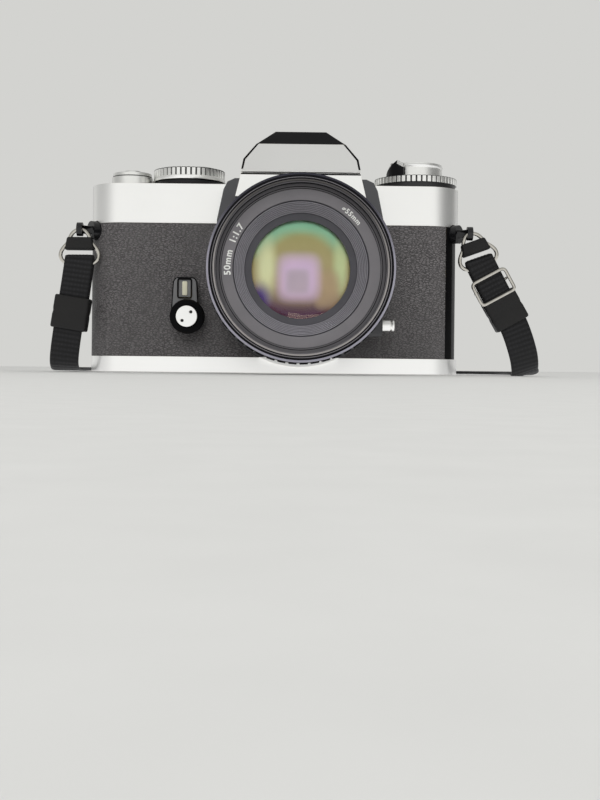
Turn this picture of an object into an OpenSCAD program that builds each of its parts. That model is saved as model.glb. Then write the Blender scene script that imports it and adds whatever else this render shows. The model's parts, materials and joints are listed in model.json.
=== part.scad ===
// A 35 mm single-lens reflex camera with a 50 mm lens and its webbing neck strap.
// Millimetres. The camera stands on its base plate: +Z up, the lens looks along -Y.
// The origin is the mouth of the tripod socket, under the lens axis.

/* [Body] */
// Width across the body ends
body_w = 136; // [130:1:144]
// Depth from the front leather to the outside of the back door
body_d = 33; // [32:0.5:35]
// Sideways place of the body's middle, measured from the lens axis
body_off = -9; // [-11:0.5:-7]
// Height of the chromed base strip
base_h = 5.6; // [5:0.1:6.5]
// Height where the leather stops and the top cover begins
leather_top = 54; // [52:0.5:56]
// Height of the flat top of the top cover
cover_top = 68.3; // [66.5:0.1:70]
// Plan radius of the front corners
front_r = 13; // [11:0.5:14]
// Plan radius of the back corners
back_r = 6; // [5:0.5:7]
// Sheet thickness of the top cover and base plate
cover_t = 1.2; // [0.8:0.1:1.6]
// Thickness of the leather covering
leather_t = 0.8; // [0.5:0.1:1.2]
// Width of the bare casting at the end beside the leather
bare_end = 3.4; // [2:0.1:5]
// Running clearance between moving pieces
gap = 0.3; // [0.2:0.05:0.45]
// Radial clearance of shafts in their bores
fit = 0.05; // [0.02:0.01:0.09]

/* [Prism hump] */
// Height of the roof
roof_z = 87; // [85:0.5:90]
// Half width of the flat roof
roof_half = 9.1; // [8:0.1:11]
// Height of the upper edge of the silver face
face_z = 81; // [79:0.5:82]
// Half width of the silver face at its upper edge
face_half = 15.6; // [14:0.1:17]
// Height of the lower corners of the silver face
cheek_z = 75.4; // [74:0.1:77]
// Half width at the lower corners
cheek_half = 20.2; // [19:0.1:21.5]
// Half width of the apron at its lower edge
apron_half = 23; // [22:0.1:25]
// Wall of the hump
hump_t = 1.4; // [1:0.1:1.8]
// Width of the accessory shoe
shoe_w = 21.8; // [20.5:0.1:23]
// Width of the foot that slides into the shoe
shoe_slot = 18.6; // [18.4:0.1:19]
// Width between the lips of the shoe
shoe_lips = 12.6; // [12:0.1:14]

/* [Lens mount] */
// Height of the lens axis
lens_z = 33.6; // [31.8:0.1:34]
// Radius of the round mount housing
drum_r = 31.4; // [30.5:0.1:31.6]
// Half width of the housing's shoulders
shoulder_half = 27.2; // [26:0.1:28.5]
// Distance from the film to the lens flange
register_d = 43.5; // [42:0.1:46]
// Bore of the bayonet throat
throat_r = 21.6; // [21:0.1:22.5]

/* [Lens] */
// Length of the lens from its flange
lens_len = 40; // [38:0.5:44]
// Radius of the fixed barrel and the aperture ring
barrel_r = 30.1; // [30:0.1:31]
// How far the rubber grip stands proud of the barrel
grip_proud = 0.5; // [0.3:0.1:0.8]
// How far the front rim is drawn in from the barrel
rim_inset = 0.2; // [0.1:0.1:1]
// Wall of the front rim round the filter thread
rim_wall = 2.4; // [1.8:0.1:2.6]
// Wall of the aperture ring and the focusing ring
ring_wall = 1.6; // [1.5:0.1:2]
// Step from the filter thread in to the grey ring
name_inset = 2.5; // [2:0.1:3]
// Width of the flat face of the grey ring
name_w = 3.2; // [2.6:0.1:3.8]
// Radius of the glass that shows
glass_r = 15.6; // [14.5:0.1:16.5]
// Ribs around the focusing grip
grip_ribs = 52; // [40:2:70]

/* [Controls] */
// From the body's end to the wind shaft
wind_in = 14; // [13.5:0.1:15]
// Radius of the wind lever's hub
hub_r = 7.6; // [6.5:0.1:8]
// Length of the wind lever
wind_len = 25; // [20:0.5:27]
// From the body's end to the middle of the shutter dial
dial_in = 35.6; // [35:0.1:36.5]
// Radius of the shutter dial
dial_r = 13.2; // [12:0.1:13.4]
// Ribs around the shutter dial
dial_ribs = 44; // [36:2:60]
// Height of the top of the shutter dial
dial_top = 75.3; // [74:0.1:77]
// From the body's end to the rewind shaft
rewind_in = 15.5; // [15:0.1:16]
// Radius of the film speed dial
iso_r = 15.4; // [14.5:0.1:15.8]
// Ribs around the film speed dial
iso_ribs = 50; // [40:2:64]
// Radius of the rewind knob
knob_r = 9.9; // [9:0.1:10.5]
// Height of the top of the rewind knob
knob_top = 78.2; // [77:0.1:80]
// From the body's end to the self-timer pivot
timer_in = 36.7; // [35:0.1:38]
// Height of the self-timer pivot
timer_z = 20; // [18:0.1:21]
// Length of the self-timer lever
timer_len = 14; // [12:0.1:16]
// Radius of the film cartridge chamber
chamber_r = 12.8; // [12.6:0.1:13]

/* [Tripod socket] */
// Radius of the tripod screw thread
tripod_r = 3.175; // [3.1:0.005:4.8]
// Outer radius of the threaded bush
bush_r = 6; // [5.6:0.1:7]

/* [Strap] */
// Width of the webbing
strap_w = 10.4; // [9:0.1:11]
// Thickness of the webbing
strap_t = 1.3; // [1:0.1:1.5]
// Thickness of the ring wire
wire_d = 1.4; // [1.2:0.1:1.6]
// Height of the lugs
lug_z = 51.5; // [50:0.5:52]

/* [Hidden] */
$fn = 64;

xl = body_off - body_w / 2;
xr = body_off + body_w / 2;
yf = -body_d / 2;
yb = body_d / 2;
e = 1;

// Film plane, flange and the stations behind the lens
film_y = yb - 6;
rail_y = film_y - 0.2;
flange_y = film_y - register_d;
flange_t = -flange_y;
drum_t = flange_t - 4.5;
drum_y = -drum_t;
cast_front = yf + leather_t;
claw_start = 10;
claw_angle = 40;

// Casting heights
cast_top = cover_top - 8.3;
chamber_top = cast_top - 2;
chamber_bot = base_h + 1.4;

// Door and hinge
door_y = rail_y + gap;
door_t = 1.6;
door_z0 = base_h + 0.6;
door_z1 = leather_top - 0.4;
hinge_r = 2.9;
pin_r = 1;
hinge_x = xl + hinge_r + 0.1;
hinge_y = yb - hinge_r - 0.1;

// Hump stations
apron_y = drum_y - 1.7;
apron_z = 62;
ledge_z = 71.5;
face_y = apron_y + 2.6;
roof_y = apron_y + 11.2;
roof_back = 10;
hump_back = yb - 1.5;
shoulder_top = cover_top + 0.3;
shoe_z = roof_z - 1.8;
shoe_y0 = -8;
shoe_y1 = roof_back;

// Mirror, screen and shutter
prism_half = 17;
plate_half = 27;
plate_rise = 18;
gate_w = 36;
gate_h = 24;
box_half = 22;
box_t = 1.5;
box_y0 = drum_y + 1.5;
box_y1 = 4.6;
box_z0 = lens_z - 19;
screen_z = lens_z + 17.4;
mirror_len = 27.5;
mirror_w = 34;
mirror_y = box_y1 - box_t - 1.9;
mirror_z = lens_z + 14.2;
mirror_pin = 0.75;
blade_t = 0.35;
blade_h = 9.5;
blade_step = 8;
blade_z0 = lens_z - gate_h / 2 - 0.5;

// Wind side
wind_x = xl + wind_in;
wind_y = 0;
spool_r = 6;
spool_chamber_r = 11;
wind_shaft = 2.5;
wind_top = cover_top + 5.7;
wind_rest = 48;
button_r = 3.4;
button_travel = 1.6;
dial_x = xl + dial_in;
dial_y = -2;
dial_shaft = 2;
mode_top = cover_top + 2;
sprocket_x = xl + 37;
sprocket_y = 3.6;
sprocket_r = 5.6;

// Rewind side
rewind_x = xr - rewind_in;
sleeve_or = 3.4;
rewind_shaft = 2;
iso_top = cover_top + 4.5;
knob_z = iso_top + gap;
crank_pivot = 5;
crank_reach = 7.2;
crank_r = 2.5;
crank_t = 1.3;

// Front controls
timer_x = xl + timer_in;
timer_shaft = 2;
timer_hub = 6;
timer_y = yf - 0.3;
release_z = lens_z - 16.2;
release_r = 2.1;
release_t = drum_t - 6;
release_boss = 29.6;

// Base controls
battery_x = -26;
battery_y = -4;
battery_r = 6.5;
button2_x = xl + 31;
button2_r = 2;
screw_r = 1.7;

// Lens radii, worked inward from the barrel
grip_r = barrel_r + grip_proud;
rim_r = barrel_r - rim_inset;
filter_r = rim_r - rim_wall;
ring_bore = barrel_r - ring_wall;
sleeve_r = ring_bore - gap;
bore_r = sleeve_r - 2;
slide_r = bore_r - gap;
name_r = filter_r - name_inset;
name_in = name_r - name_w;
cavity_r = name_r - 2;
tail_r = throat_r - 1.1;
cell_r = 12.6;
rear_R = 30;

// Lens stations, measured forward of the film side along the axis
lens_t0 = flange_t + gap;
lens_t1 = flange_t + lens_len;
ap_t0 = lens_t0 + 2;
ap_t1 = ap_t0 + 8;
scale_t1 = ap_t1 + 3.7;
sleeve_t1 = scale_t1 + 13;
rim_t0 = lens_t1 - 5.6;
thread_len = 4;
shelf_t = lens_t1 - thread_len;
name_t = shelf_t;
seat_t = lens_t1 - 13;
plate_t = seat_t - 13;
cone_t = name_t - 3.2;
lip_t = name_t - 4;
glass_R = 38;
iris_pivot = cavity_r - 3.5;
iris_pin = 0.7;
iris_t = plate_t + 0.4;
iris_pitch = 0.5;
iris_thick = 0.3;

// Strap lugs and rings
lug_dx = body_w / 2 + 3;
lug_y = -14.5;
lug_out = norm([lug_dx - body_w / 2 + front_r, lug_y - yf - front_r]) - front_r;
lug_stem = 1.55;
lug_depth = 2.2;
lug_bore = wire_d / 2 + 0.85;
ring_w = strap_w + 2.2;
ring_h = 12;

// The route of the webbing, from its tail in the left keeper, up round the ring, down to the floor and back
lay_z = strap_t / 2 + 0.05;
strand_l = [[-83.8, -13, 15], [-81.8, -13, 27], [-80.4, -13, 37], [-80, -13.2, 40.4], [-80, -14.5, 41.9],
            [-80, -15.8, 40.4], [-80.4, -16, 37], [-81.8, -16.1, 27], [-83.8, -16, 15], [-85.4, -13.6, 5],
            [-86, -8, 1]];
strand_r = [[78, -13, 18.5], [72, -13, 29], [67.3, -13, 38], [65.8, -13.2, 41], [65.3, -14.5, 42.5],
            [65.8, -15.8, 41], [67.3, -16, 38], [72, -16.1, 29], [78, -16, 18.5], [82, -14.2, 8],
                [84, -8, 1.2]];
loop_l = [[-86, 2], [-82, 26], [-63, 48], [-9, 66], [42, 84], [60, 118], [40, 154]];
loop_r = [[85, 4], [79, 28], [50, 49], [-9, 66], [-60, 84], [-78, 118], [-58, 154]];
far_pt = [body_off, 168, lay_z, 0];
crossing = 3;
right_lean = 20;
keeper_l = [-82.8, -14.6, 21];
keeper_r = [75, -14.6, 23.8];
keeper_tilt_l = 8.6;
keeper_tilt_r = -29.7;

// Each point gets a fourth number: 1 on the left strand, -1 on the right one, 0 on the floor
function hang(p, side) = [p[0], p[1], p[2], side];
function lay(p, up) = [p[0], p[1], lay_z + up, 0];
function turned_back(v) = [for (i = [len(v) - 1 : -1 : 0]) v[i]];
route_l = concat([for (p = strand_l) hang(p, 1)], [for (p = loop_l) lay(p, 0)]);
route_r = concat([for (p = strand_r) hang(p, -1)],
                 [for (i = [0 : len(loop_r) - 1]) lay(loop_r[i], i == crossing ? strap_t + 0.5 : 0)]);
route = concat(route_l, [far_pt], turned_back(route_r));

function at(i) = route[max(0, min(len(route) - 1, i))];
function blend(a, b, c, d, t) = 0.5 * (2 * b + (c - a) * t + (2 * a - 5 * b + 4 * c - d) * t * t
                                + (3 * b - a - 3 * c + d) * t * t * t);
function unit(v) = v / norm(v);
function sample(i, t) = blend(at(i - 1), at(i), at(i + 1), at(i + 2), t);
ns = len(strand_l);
function steps(i) = i < ns - 3 || i > len(route) - ns + 1 ? [0] : [0, 0.33, 0.67];
strap_pts = concat([for (i = [0 : len(route) - 2]) for (t = steps(i)) sample(i, t)], [at(len(route) - 1)]);
function xyz(p) = [p[0], p[1], p[2]];
function tangent(i) = unit(xyz(strap_pts[min(len(strap_pts) - 1, i + 1)]) - xyz(strap_pts[max(0, i - 1)]));
function across(i) = let (t = tangent(i), k = strap_pts[i][3])
    k > 0.75 ? [1, 0, 0] : k < -0.75 ? [-cos(right_lean), 0, -sin(right_lean)] : unit([t[1], -t[0], 0]);

// Body outline in plan, drawn in by g
module plan(g = 0) {
    fr = front_r - g;
    br = back_r - g;
    x0 = xl + g;
    x1 = xr - g;
    y0 = yf + g;
    y1 = yb - g;
    union() {
        for (x = [x0 + fr, x1 - fr]) translate([x, y0 + fr]) circle(fr);
        for (x = [x0 + br, x1 - br]) translate([x, y1 - br]) circle(br);
        polygon([[x0 + fr, y0], [x1 - fr, y0], [x1, y0 + fr], [x1, y1 - br],
                 [x1 - br, y1], [x0 + br, y1], [x0, y1 - br], [x0, y0 + fr]]);
    }
}

// A box given by two corners
module span(a, b) {
    translate(a) cube([b[0] - a[0], b[1] - a[1], b[2] - a[2]]);
}

// An upright cylinder between two heights
module post(x, y, r, z0, z1) {
    translate([x, y, z0]) cylinder(r = r, h = z1 - z0);
}

// Puts a shape that is drawn along +Z on the lens axis, looking forward
module on_axis() {
    translate([0, 0, lens_z]) rotate([90, 0, 0]) children();
}

// A turned lens piece from radius and station pairs
module turned(pts) {
    on_axis() rotate_extrude() polygon(pts);
}

// Outline of a disc with flat ribs and narrow grooves
module ribbed(r, depth, n) {
    edges = [0.02, 0.68, 0.76, 0.94];
    polygon([for (i = [0 : 4 * n - 1]) let (q = i % 4 < 2 ? r : r - depth,
        a = 360 / n * (floor(i / 4) + edges[i % 4]))
        [q * cos(a), q * sin(a)]]);
}

// A knurled disc outline
module knurl(r, depth, n) {
    polygon([for (i = [0 : 2 * n - 1]) let (q = i % 2 == 0 ? r : r - depth, a = 180 * i / n)
        [q * cos(a), q * sin(a)]]);
}

// A solid drawn in the side view, extruded across the body
module side_solid(pts, half) {
    translate([-half, 0, 0]) rotate([90, 0, 90]) linear_extrude(2 * half) polygon(pts);
}

// A solid drawn in the front view, extruded from y0 back to y1
module front_solid(pts, y0, y1) {
    translate([0, y1, 0]) rotate([90, 0, 0]) linear_extrude(y1 - y0) polygon(pts);
}

// Right half of an outline and its mirror image
function both(p) = concat(p, [for (i = [len(p) - 1 : -1 : 0]) [-p[i][0], p[i][1]]]);

// Front outline of the housing's shoulders
function shoulders(g) = both([[shoulder_half + 2.6 - g, lens_z], [shoulder_half + 2.2 - g, leather_top],
    [shoulder_half - g, shoulder_top - 4 - g], [shoulder_half - 1.4 - g, shoulder_top - 1.2 - g],
    [shoulder_half - 4 - g, shoulder_top - g]]);

module hump_outer() {
    intersection() {
        front_solid(both([[apron_half, apron_z], [cheek_half + 1.2, shoulder_top],
            [cheek_half + 0.7, ledge_z],
            [cheek_half, cheek_z], [face_half, face_z], [roof_half, roof_z]]), apron_y - e, hump_back + e);
        side_solid([[apron_y, apron_z], [apron_y, ledge_z - 1], [apron_y + 0.3, ledge_z], [face_y, face_z],
            [roof_y, roof_z], [roof_back, roof_z], [hump_back, roof_z - 7.5],
                [hump_back, cover_top - cover_t],
            [cast_front, cover_top - cover_t], [cast_front, shoulder_top + 0.1],
            [drum_y - 0.1, shoulder_top + 0.1], [drum_y - 0.1, apron_z]], apron_half + e);
    }
}

module hump_inner() {
    t = hump_t;
    intersection() {
        front_solid(both([[cheek_half - t, apron_z - 4], [cheek_half - t, ledge_z],
            [cheek_half - t, cheek_z - 0.6],
            [face_half - t, face_z - 0.6], [roof_half - 0.8, roof_z - 3.4]]), apron_y - e, hump_back);
        side_solid([[drum_y, shoulder_top - 4], [drum_y + 0.3, ledge_z], [face_y + t, face_z - 0.6],
            [roof_y, roof_z - 3.4], [roof_back - 0.6, roof_z - 3.4], [hump_back - t, roof_z - 8.6],
            [hump_back - t, shoulder_top - 4]], apron_half);
    }
}

// The part of the hump that belongs to the silver cover
module silver_zone() {
    union() {
        span([-apron_half - e, apron_y - e, apron_z - e], [apron_half + e, hump_back + e, cheek_z]);
        side_solid([[apron_y - e, cheek_z - e], [apron_y - e, face_z], [face_y + hump_t, face_z],
            [face_y + hump_t - 1.6, cheek_z - e]], apron_half + e);
    }
}

module body_casting() {
    color("#2b2b2d") difference() {
        union() {
            translate([0, 0, base_h]) linear_extrude(leather_top - base_h) intersection() {
                plan(leather_t);
                translate([xl, yf]) square([body_w, rail_y - yf]);
            }
            translate([0, 0, leather_top]) linear_extrude(cast_top - leather_top) intersection() {
                plan(cover_t + gap);
                translate([xl, yf]) square([body_w, rail_y - yf]);
            }
        }
        // Film cartridge chamber, take-up chamber and the sprocket's pocket
        post(rewind_x, 0, chamber_r, chamber_bot, chamber_top);
        span([rewind_x - chamber_r, 0, chamber_bot], [rewind_x + chamber_r, yb, chamber_top]);
        post(wind_x, wind_y, spool_chamber_r, chamber_bot, chamber_top);
        span([wind_x - spool_chamber_r, 0, chamber_bot], [wind_x + spool_chamber_r, yb, chamber_top]);
        post(sprocket_x, sprocket_y, sprocket_r + 1.8, chamber_bot, chamber_top);
        span([sprocket_x - sprocket_r - 1.8, sprocket_y, chamber_bot],
             [sprocket_x + sprocket_r + 1.8, yb, chamber_top]);
        // Mirror box, shutter pocket and film gate
        span([-box_half - 0.1, yf - e, box_z0 - 0.1], [box_half + 0.1, box_y1 + 0.1, cast_top + e]);
        span([-box_half - 3, box_y1, box_z0 - 4], [box_half + 3, rail_y - 0.9, screen_z - 1]);
        span([-gate_w / 2, 0, lens_z - gate_h / 2], [gate_w / 2, yb, lens_z + gate_h / 2]);
        // Bores for the shafts
        post(rewind_x, 0, sleeve_or + fit, chamber_top - e, cast_top + e);
        post(wind_x, wind_y, 1.5 + fit, base_h - e, cast_top + e);
        post(sprocket_x, sprocket_y, 1.5 + fit, base_h - e, cast_top + e);
        post(dial_x, dial_y, dial_shaft + fit, cast_top - 1.7, cast_top + e);
        translate([timer_x, yf - e, timer_z]) rotate([-90, 0, 0]) cylinder(r = timer_shaft + fit,
            h = 4.6 + e);
        post(0, 0, bush_r + fit, base_h - e, base_h + 2);
        post(battery_x, battery_y, battery_r - 0.7, base_h - e, base_h + 5.4);
        post(button2_x, 0, button2_r + fit, base_h - e, base_h + 4);
        for (x = [xl + 11, xr - 11], y = [-9, 7]) post(x, y, 0.9, base_h - e, chamber_bot);
        for (s = [-1, 1]) lug_place(s) rotate([-90, 0, 0]) cylinder(r = lug_stem + fit, h = lug_depth + 0.2);
    }
}

module top_cover() {
    color("#d9d9d6") difference() {
        union() {
            difference() {
                translate([0, 0, leather_top]) linear_extrude(cover_top - leather_top) plan(0);
                translate([0, 0, leather_top - e]) linear_extrude(cover_top - cover_t - leather_top + e)
                    plan(cover_t);
                hump_inner();
                front_solid(shoulders(-0.15), yf - e, cast_front + 2);
            }
            post(hinge_x, hinge_y, pin_r + 1, leather_top, leather_top + 4);
            intersection() {
                difference() {
                    hump_outer();
                    hump_inner();
                }
                silver_zone();
            }
        }
        // Groove under the silver face
        span([-apron_half - e, apron_y - e, ledge_z - 1.5], [apron_half + e, apron_y + 0.7, ledge_z - 0.8]);
        // Shaft holes, hinge pin hole and the eyepiece opening
        post(wind_x, wind_y, wind_shaft + fit, cast_top, cover_top + e);
        post(dial_x, dial_y, dial_shaft + fit, cast_top, cover_top + e);
        post(rewind_x, 0, sleeve_or + fit, cast_top, cover_top + e);
        post(hinge_x, hinge_y, pin_r, leather_top - e, leather_top + 3);
        span([-8, hump_back - 4, cover_top + 1.7], [8, hump_back + e, cover_top + 11]);
        // Notches round the lug bosses
        for (s = [-1, 1]) lug_place(s) rotate([90, 0, 0]) cylinder(r = 3.6, h = 10, center = true);
    }
}

module prism_cap() {
    color("#1b1b1d") difference() {
        hump_outer();
        hump_inner();
        silver_zone();
        span([-shoe_w / 2 - 0.05, shoe_y0 - 0.05, shoe_z], [shoe_w / 2 + 0.05, shoe_y1 + 10, roof_z + e]);
        span([-8, hump_back - 4, cover_top + 1.7], [8, hump_back + e, cover_top + 11]);
    }
}

module hot_shoe() {
    top = shoe_z + 3.4;
    color("#c9c9c6") union() {
        difference() {
            span([-shoe_w / 2, shoe_y0, shoe_z], [shoe_w / 2, shoe_y1, top]);
            span([-shoe_slot / 2, shoe_y0 + 1.5, shoe_z + 0.6], [shoe_slot / 2, shoe_y1 + e, shoe_z + 2.6]);
            span([-shoe_lips / 2, shoe_y0 + 1.5, shoe_z + 0.6], [shoe_lips / 2, shoe_y1 + e, top + e]);
        }
        post(0, (shoe_y0 + shoe_y1) / 2, 1.2, shoe_z + 0.5, shoe_z + 0.75);
    }
}

module base_plate() {
    color("#d9d9d6") difference() {
        union() {
            difference() {
                linear_extrude(base_h) plan(0);
                translate([0, 0, cover_t]) linear_extrude(base_h) plan(cover_t);
            }
            // Half-round front under the lens mount
            difference() {
                intersection() {
                    on_axis() translate([0, 0, -yf - 2]) cylinder(r = drum_r, h = drum_t + yf + 2);
                    span([-drum_r, drum_y - e, 0.3], [drum_r, yf + cover_t, base_h]);
                }
                translate([0, 0, -e]) linear_extrude(base_h + 2 * e) plan(cover_t);
            }
            // Bosses for the hinge pin, the screws and the battery
            post(hinge_x, hinge_y, pin_r + 1, cover_t - 0.1, base_h);
            for (x = [xl + 11, xr - 11], y = [-9, 7]) post(x, y, screw_r + 1.2, cover_t - 0.1, base_h);
            post(battery_x, battery_y, battery_r + 2, cover_t - 0.1, base_h);
        }
        post(0, 0, bush_r + fit, -e, base_h + e);
        post(battery_x, battery_y, battery_r + fit, -e, 3.2);
        post(battery_x, battery_y, battery_r - 0.7, 3, base_h + e);
        post(button2_x, 0, button2_r + fit, -e, base_h);
        post(hinge_x, hinge_y, pin_r, 2, base_h + e);
        for (x = [xl + 11, xr - 11], y = [-9, 7]) {
            post(x, y, screw_r, -e, 1);
            post(x, y, 0.9, 0, base_h + e);
        }
    }
}

module base_screws() {
    color("#b9b9b6") for (x = [xl + 11, xr - 11], y = [-9, 7]) difference() {
        union() {
            post(x, y, screw_r - fit, 0.2, 1);
            post(x, y, 0.9 - fit, 0.9, base_h + 1);
        }
        span([x - screw_r, y - 0.25, 0], [x + screw_r, y + 0.25, 0.6]);
    }
}

module tripod_bush() {
    color("#a9a9a6") difference() {
        post(0, 0, bush_r, 0, base_h + 1.9);
        post(0, 0, tripod_r, -e, base_h);
    }
}

module front_leather() {
    color("#242321") difference() {
        translate([0, 0, base_h + 0.1]) linear_extrude(leather_top - base_h - 0.2) intersection() {
            difference() {
                plan(0);
                plan(leather_t);
            }
            translate([xl - e, yf - e]) square([body_w + e - bare_end, rail_y - 4 - yf + e]);
        }
        on_axis() cylinder(r = drum_r + 0.2, h = 40);
        front_solid(shoulders(-0.3), yf - e, yf + 4);
        translate([timer_x, yf - e, timer_z]) rotate([-90, 0, 0]) cylinder(r = timer_shaft + 0.2, h = 4);
        for (s = [-1, 1]) lug_place(s) rotate([90, 0, 0]) cylinder(r = 3.6, h = 10, center = true);
        translate([0, -release_t, release_z]) rotate([0, 90, 0]) cylinder(r = release_r + gap,
            h = shoulder_half * 2);
    }
}

module mount_housing() {
    color("#1a1a1b") difference() {
        union() {
            intersection() {
                on_axis() translate([0, 0, -cast_front]) cylinder(r = drum_r, h = drum_t + cast_front);
                span([-drum_r - e, drum_y - e, base_h], [drum_r + e, 0, 100]);
            }
            front_solid(shoulders(0), drum_y, cast_front);
            translate([18, -release_t, release_z]) rotate([0, 90, 0])
                cylinder(r = release_r + 1.9, h = release_boss - 18);
        }
        span([-box_half - 0.1, box_y0 - 0.1, box_z0 - 0.1], [box_half + 0.1, 0, 100]);
        on_axis() cylinder(r = throat_r + 0.2, h = 40);
        translate([release_boss - 6.6, -release_t, release_z]) rotate([0, 90, 0])
            cylinder(r = release_r + fit, h = 20);
        for (a = [45 : 90 : 315]) on_axis() rotate(a) translate([throat_r + 3, 0, drum_t - 1])
            cylinder(r = 0.8, h = 3);
    }
}

module body_bayonet() {
    color("#c4c4c2") difference() {
        union() {
            on_axis() translate([0, 0, drum_t]) difference() {
                cylinder(r = throat_r + 6, h = flange_t - drum_t);
                translate([0, 0, -e]) cylinder(r = throat_r, h = flange_t - drum_t + 2 * e);
            }
            on_axis() for (a = [0 : 120 : 240]) rotate(a + claw_start)
                translate([0, 0, flange_t - 1.6]) rotate_extrude(angle = claw_angle)
                    translate([throat_r - 1.2, 0]) square([1.4, 1.4]);
        }
        for (a = [45 : 90 : 315]) on_axis() rotate(a) translate([throat_r + 3, 0, drum_t - e]) {
            cylinder(r = 0.8, h = 8);
            translate([0, 0, flange_t - drum_t + e - 1]) cylinder(r = screw_r, h = 3);
        }
    }
}

module mount_screws() {
    color("#b9b9b6") for (a = [45 : 90 : 315]) on_axis() rotate(a) translate([throat_r + 3, 0, 0])
        difference() {
        union() {
            translate([0, 0, drum_t - 0.9]) cylinder(r = 0.8 - fit, h = flange_t - drum_t);
            translate([0, 0, flange_t - 1]) cylinder(r = screw_r - fit, h = 0.9);
        }
        translate([-screw_r, -0.2, flange_t - 0.5]) cube([2 * screw_r, 0.4, 2]);
    }
}

module mirror_box() {
    color("#202022") difference() {
        union() {
            difference() {
                span([-box_half, box_y0, box_z0], [box_half, box_y1, screen_z]);
                span([-box_half + box_t, box_y0 + box_t, box_z0 + box_t],
                     [box_half - box_t, box_y1 - box_t, screen_z + e]);
                span([-box_half + 2.5, box_y0 - e, box_z0 + box_t], [box_half - 2.5, 0, screen_z + e]);
                span([-gate_w / 2 - 0.5, 0, lens_z - gate_h / 2 - 0.5],
                     [gate_w / 2 + 0.5, yb, lens_z + gate_h / 2 + 0.5]);
            }
            translate([-box_half + 0.5, mirror_y, mirror_z]) rotate([0, 90, 0])
                cylinder(r = mirror_pin, h = 2 * box_half - 1);
        }
    }
}

module focusing_screen() {
    color("#e8e8e2") span([-box_half + 0.3, box_y0 + 0.3, screen_z],
        [box_half - 0.3, box_y1 - 0.3, screen_z + 1.6]);
}

module pentaprism() {
    z0 = screen_z + 1.6;
    color("#cfe0e6") intersection() {
        side_solid([[box_y0 + 0.6, z0], [box_y0 + 0.6, ledge_z - 2], [roof_y - 1, roof_z - 4.4],
            [-2, roof_z - 4.4],
            [box_y1 + 1.4, cover_top + 9], [box_y1 + 1.4, cover_top + 1], [box_y1 - 1, cast_top + 1],
            [box_y1 - 1, z0]], prism_half);
        front_solid(both([[prism_half, z0], [prism_half, cheek_z - 6], [roof_half - 2, roof_z - 4.4]]),
            box_y0 - e, yb);
    }
}

module eyepiece_frame() {
    z0 = cover_top + 1.8;
    z1 = cover_top + 10.9;
    color("#18181a") difference() {
        union() {
            span([-7.9, hump_back - 3.9, z0], [7.9, hump_back, z1]);
            span([-11, hump_back, z0 - 1.2], [11, hump_back + 4, z1 + 1.6]);
        }
        span([-6.4, hump_back - 6, z0 + 1.4], [6.4, hump_back + 6, z1 - 1.4]);
        span([-9.4, hump_back + 2.6, z0 + 0.2], [9.4, hump_back + 6, z1 + 0.2]);
    }
}

module eyepiece_lens() {
    z0 = cover_top + 3.2;
    z1 = cover_top + 9.5;
    color("#9fb4c4") span([-6.35, hump_back - 2.5, z0 + 0.05], [6.35, hump_back + 0.5, z1 - 0.05]);
}

module shutter_frame() {
    color("#3a3a3d") difference() {
        span([-box_half - 2.8, box_y1 + 0.2, box_z0 - 3.8], [box_half + 2.8, rail_y - 1, screen_z - 1.2]);
        span([-gate_w / 2 - 3.5, box_y1 + 1, box_z0 - 2.8], [gate_w / 2 + 3.5, rail_y - 1.8, screen_z - 2.2]);
        span([-gate_w / 2, 0, lens_z - gate_h / 2], [gate_w / 2, yb, lens_z + gate_h / 2]);
    }
}

// One slat of the shutter, nearest the lens first
module slat(i) {
    y = box_y1 + 1.3 + i * 0.75;
    z = blade_z0 + (2 - i) * blade_step;
    color("#4a4a4e") span([-gate_w / 2 - 2.4, y, z], [gate_w / 2 + 2.4, y + blade_t, z + blade_h]);
}

module shutter_blade_1() {
    slat(0);
}

module shutter_blade_2() {
    slat(1);
}

module shutter_blade_3() {
    slat(2);
}

// Puts a piece on a lug's seat, its -Y pointing outward from the rounded corner
module lug_place(s) {
    cx = s < 0 ? xl + front_r : xr - front_r;
    a = atan2(lug_y - (yf + front_r), s * lug_dx + body_off - cx) + 90;
    translate([cx, yf + front_r, lug_z]) rotate(a) translate([0, -front_r, 0]) children();
}

module strap_lugs() {
    color("#1d1d1e") for (s = [-1, 1]) difference() {
        union() {
            lug_place(s) rotate([90, 0, 0]) translate([0, 0, -leather_t + 0.4]) cylinder(r = 3.4, h = 2.6);
            lug_place(s) rotate([90, 0, 0]) translate([0, 0, -lug_depth]) cylinder(r = lug_stem,
                h = lug_depth + lug_out - 1.4);
            translate([body_off + s * lug_dx, lug_y, lug_z]) rotate([0, 90, 0]) cylinder(r = 2.5, h = 2,
                center = true);
        }
        translate([body_off + s * lug_dx, lug_y, lug_z]) {
            rotate([0, 90, 0]) cylinder(r = lug_bore, h = 9, center = true);
            for (k = [-1, 1]) translate([k * 3, 0, -2]) cube([4, 2 * lug_bore, 4], center = true);
        }
    }
}

module hinge_pin() {
    color("#b0b0ad") post(hinge_x, hinge_y, pin_r - 0.01, 2.2, leather_top + 2.8);
}

module back_door() {
    color("#1c1c1d") difference() {
        union() {
            difference() {
                translate([0, 0, door_z0]) linear_extrude(door_z1 - door_z0) intersection() {
                    plan(0);
                    translate([hinge_x + 2, door_y]) square([body_w, body_d]);
                }
                translate([0, 0, door_z0 + 1.2]) linear_extrude(door_z1 - door_z0 - 2.4) intersection() {
                    plan(door_t);
                    translate([hinge_x + 3.4, door_y - e]) square([body_w, body_d]);
                }
            }
            post(hinge_x, hinge_y, hinge_r, door_z0, door_z1);
        }
        post(hinge_x, hinge_y, pin_r + fit, door_z0 - e, door_z1 + e);
    }
}

module door_leather() {
    color("#242321") span([xl + 12, yb, door_z0 + 3], [xr - 12, yb + 0.6, door_z1 - 3]);
}

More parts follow.
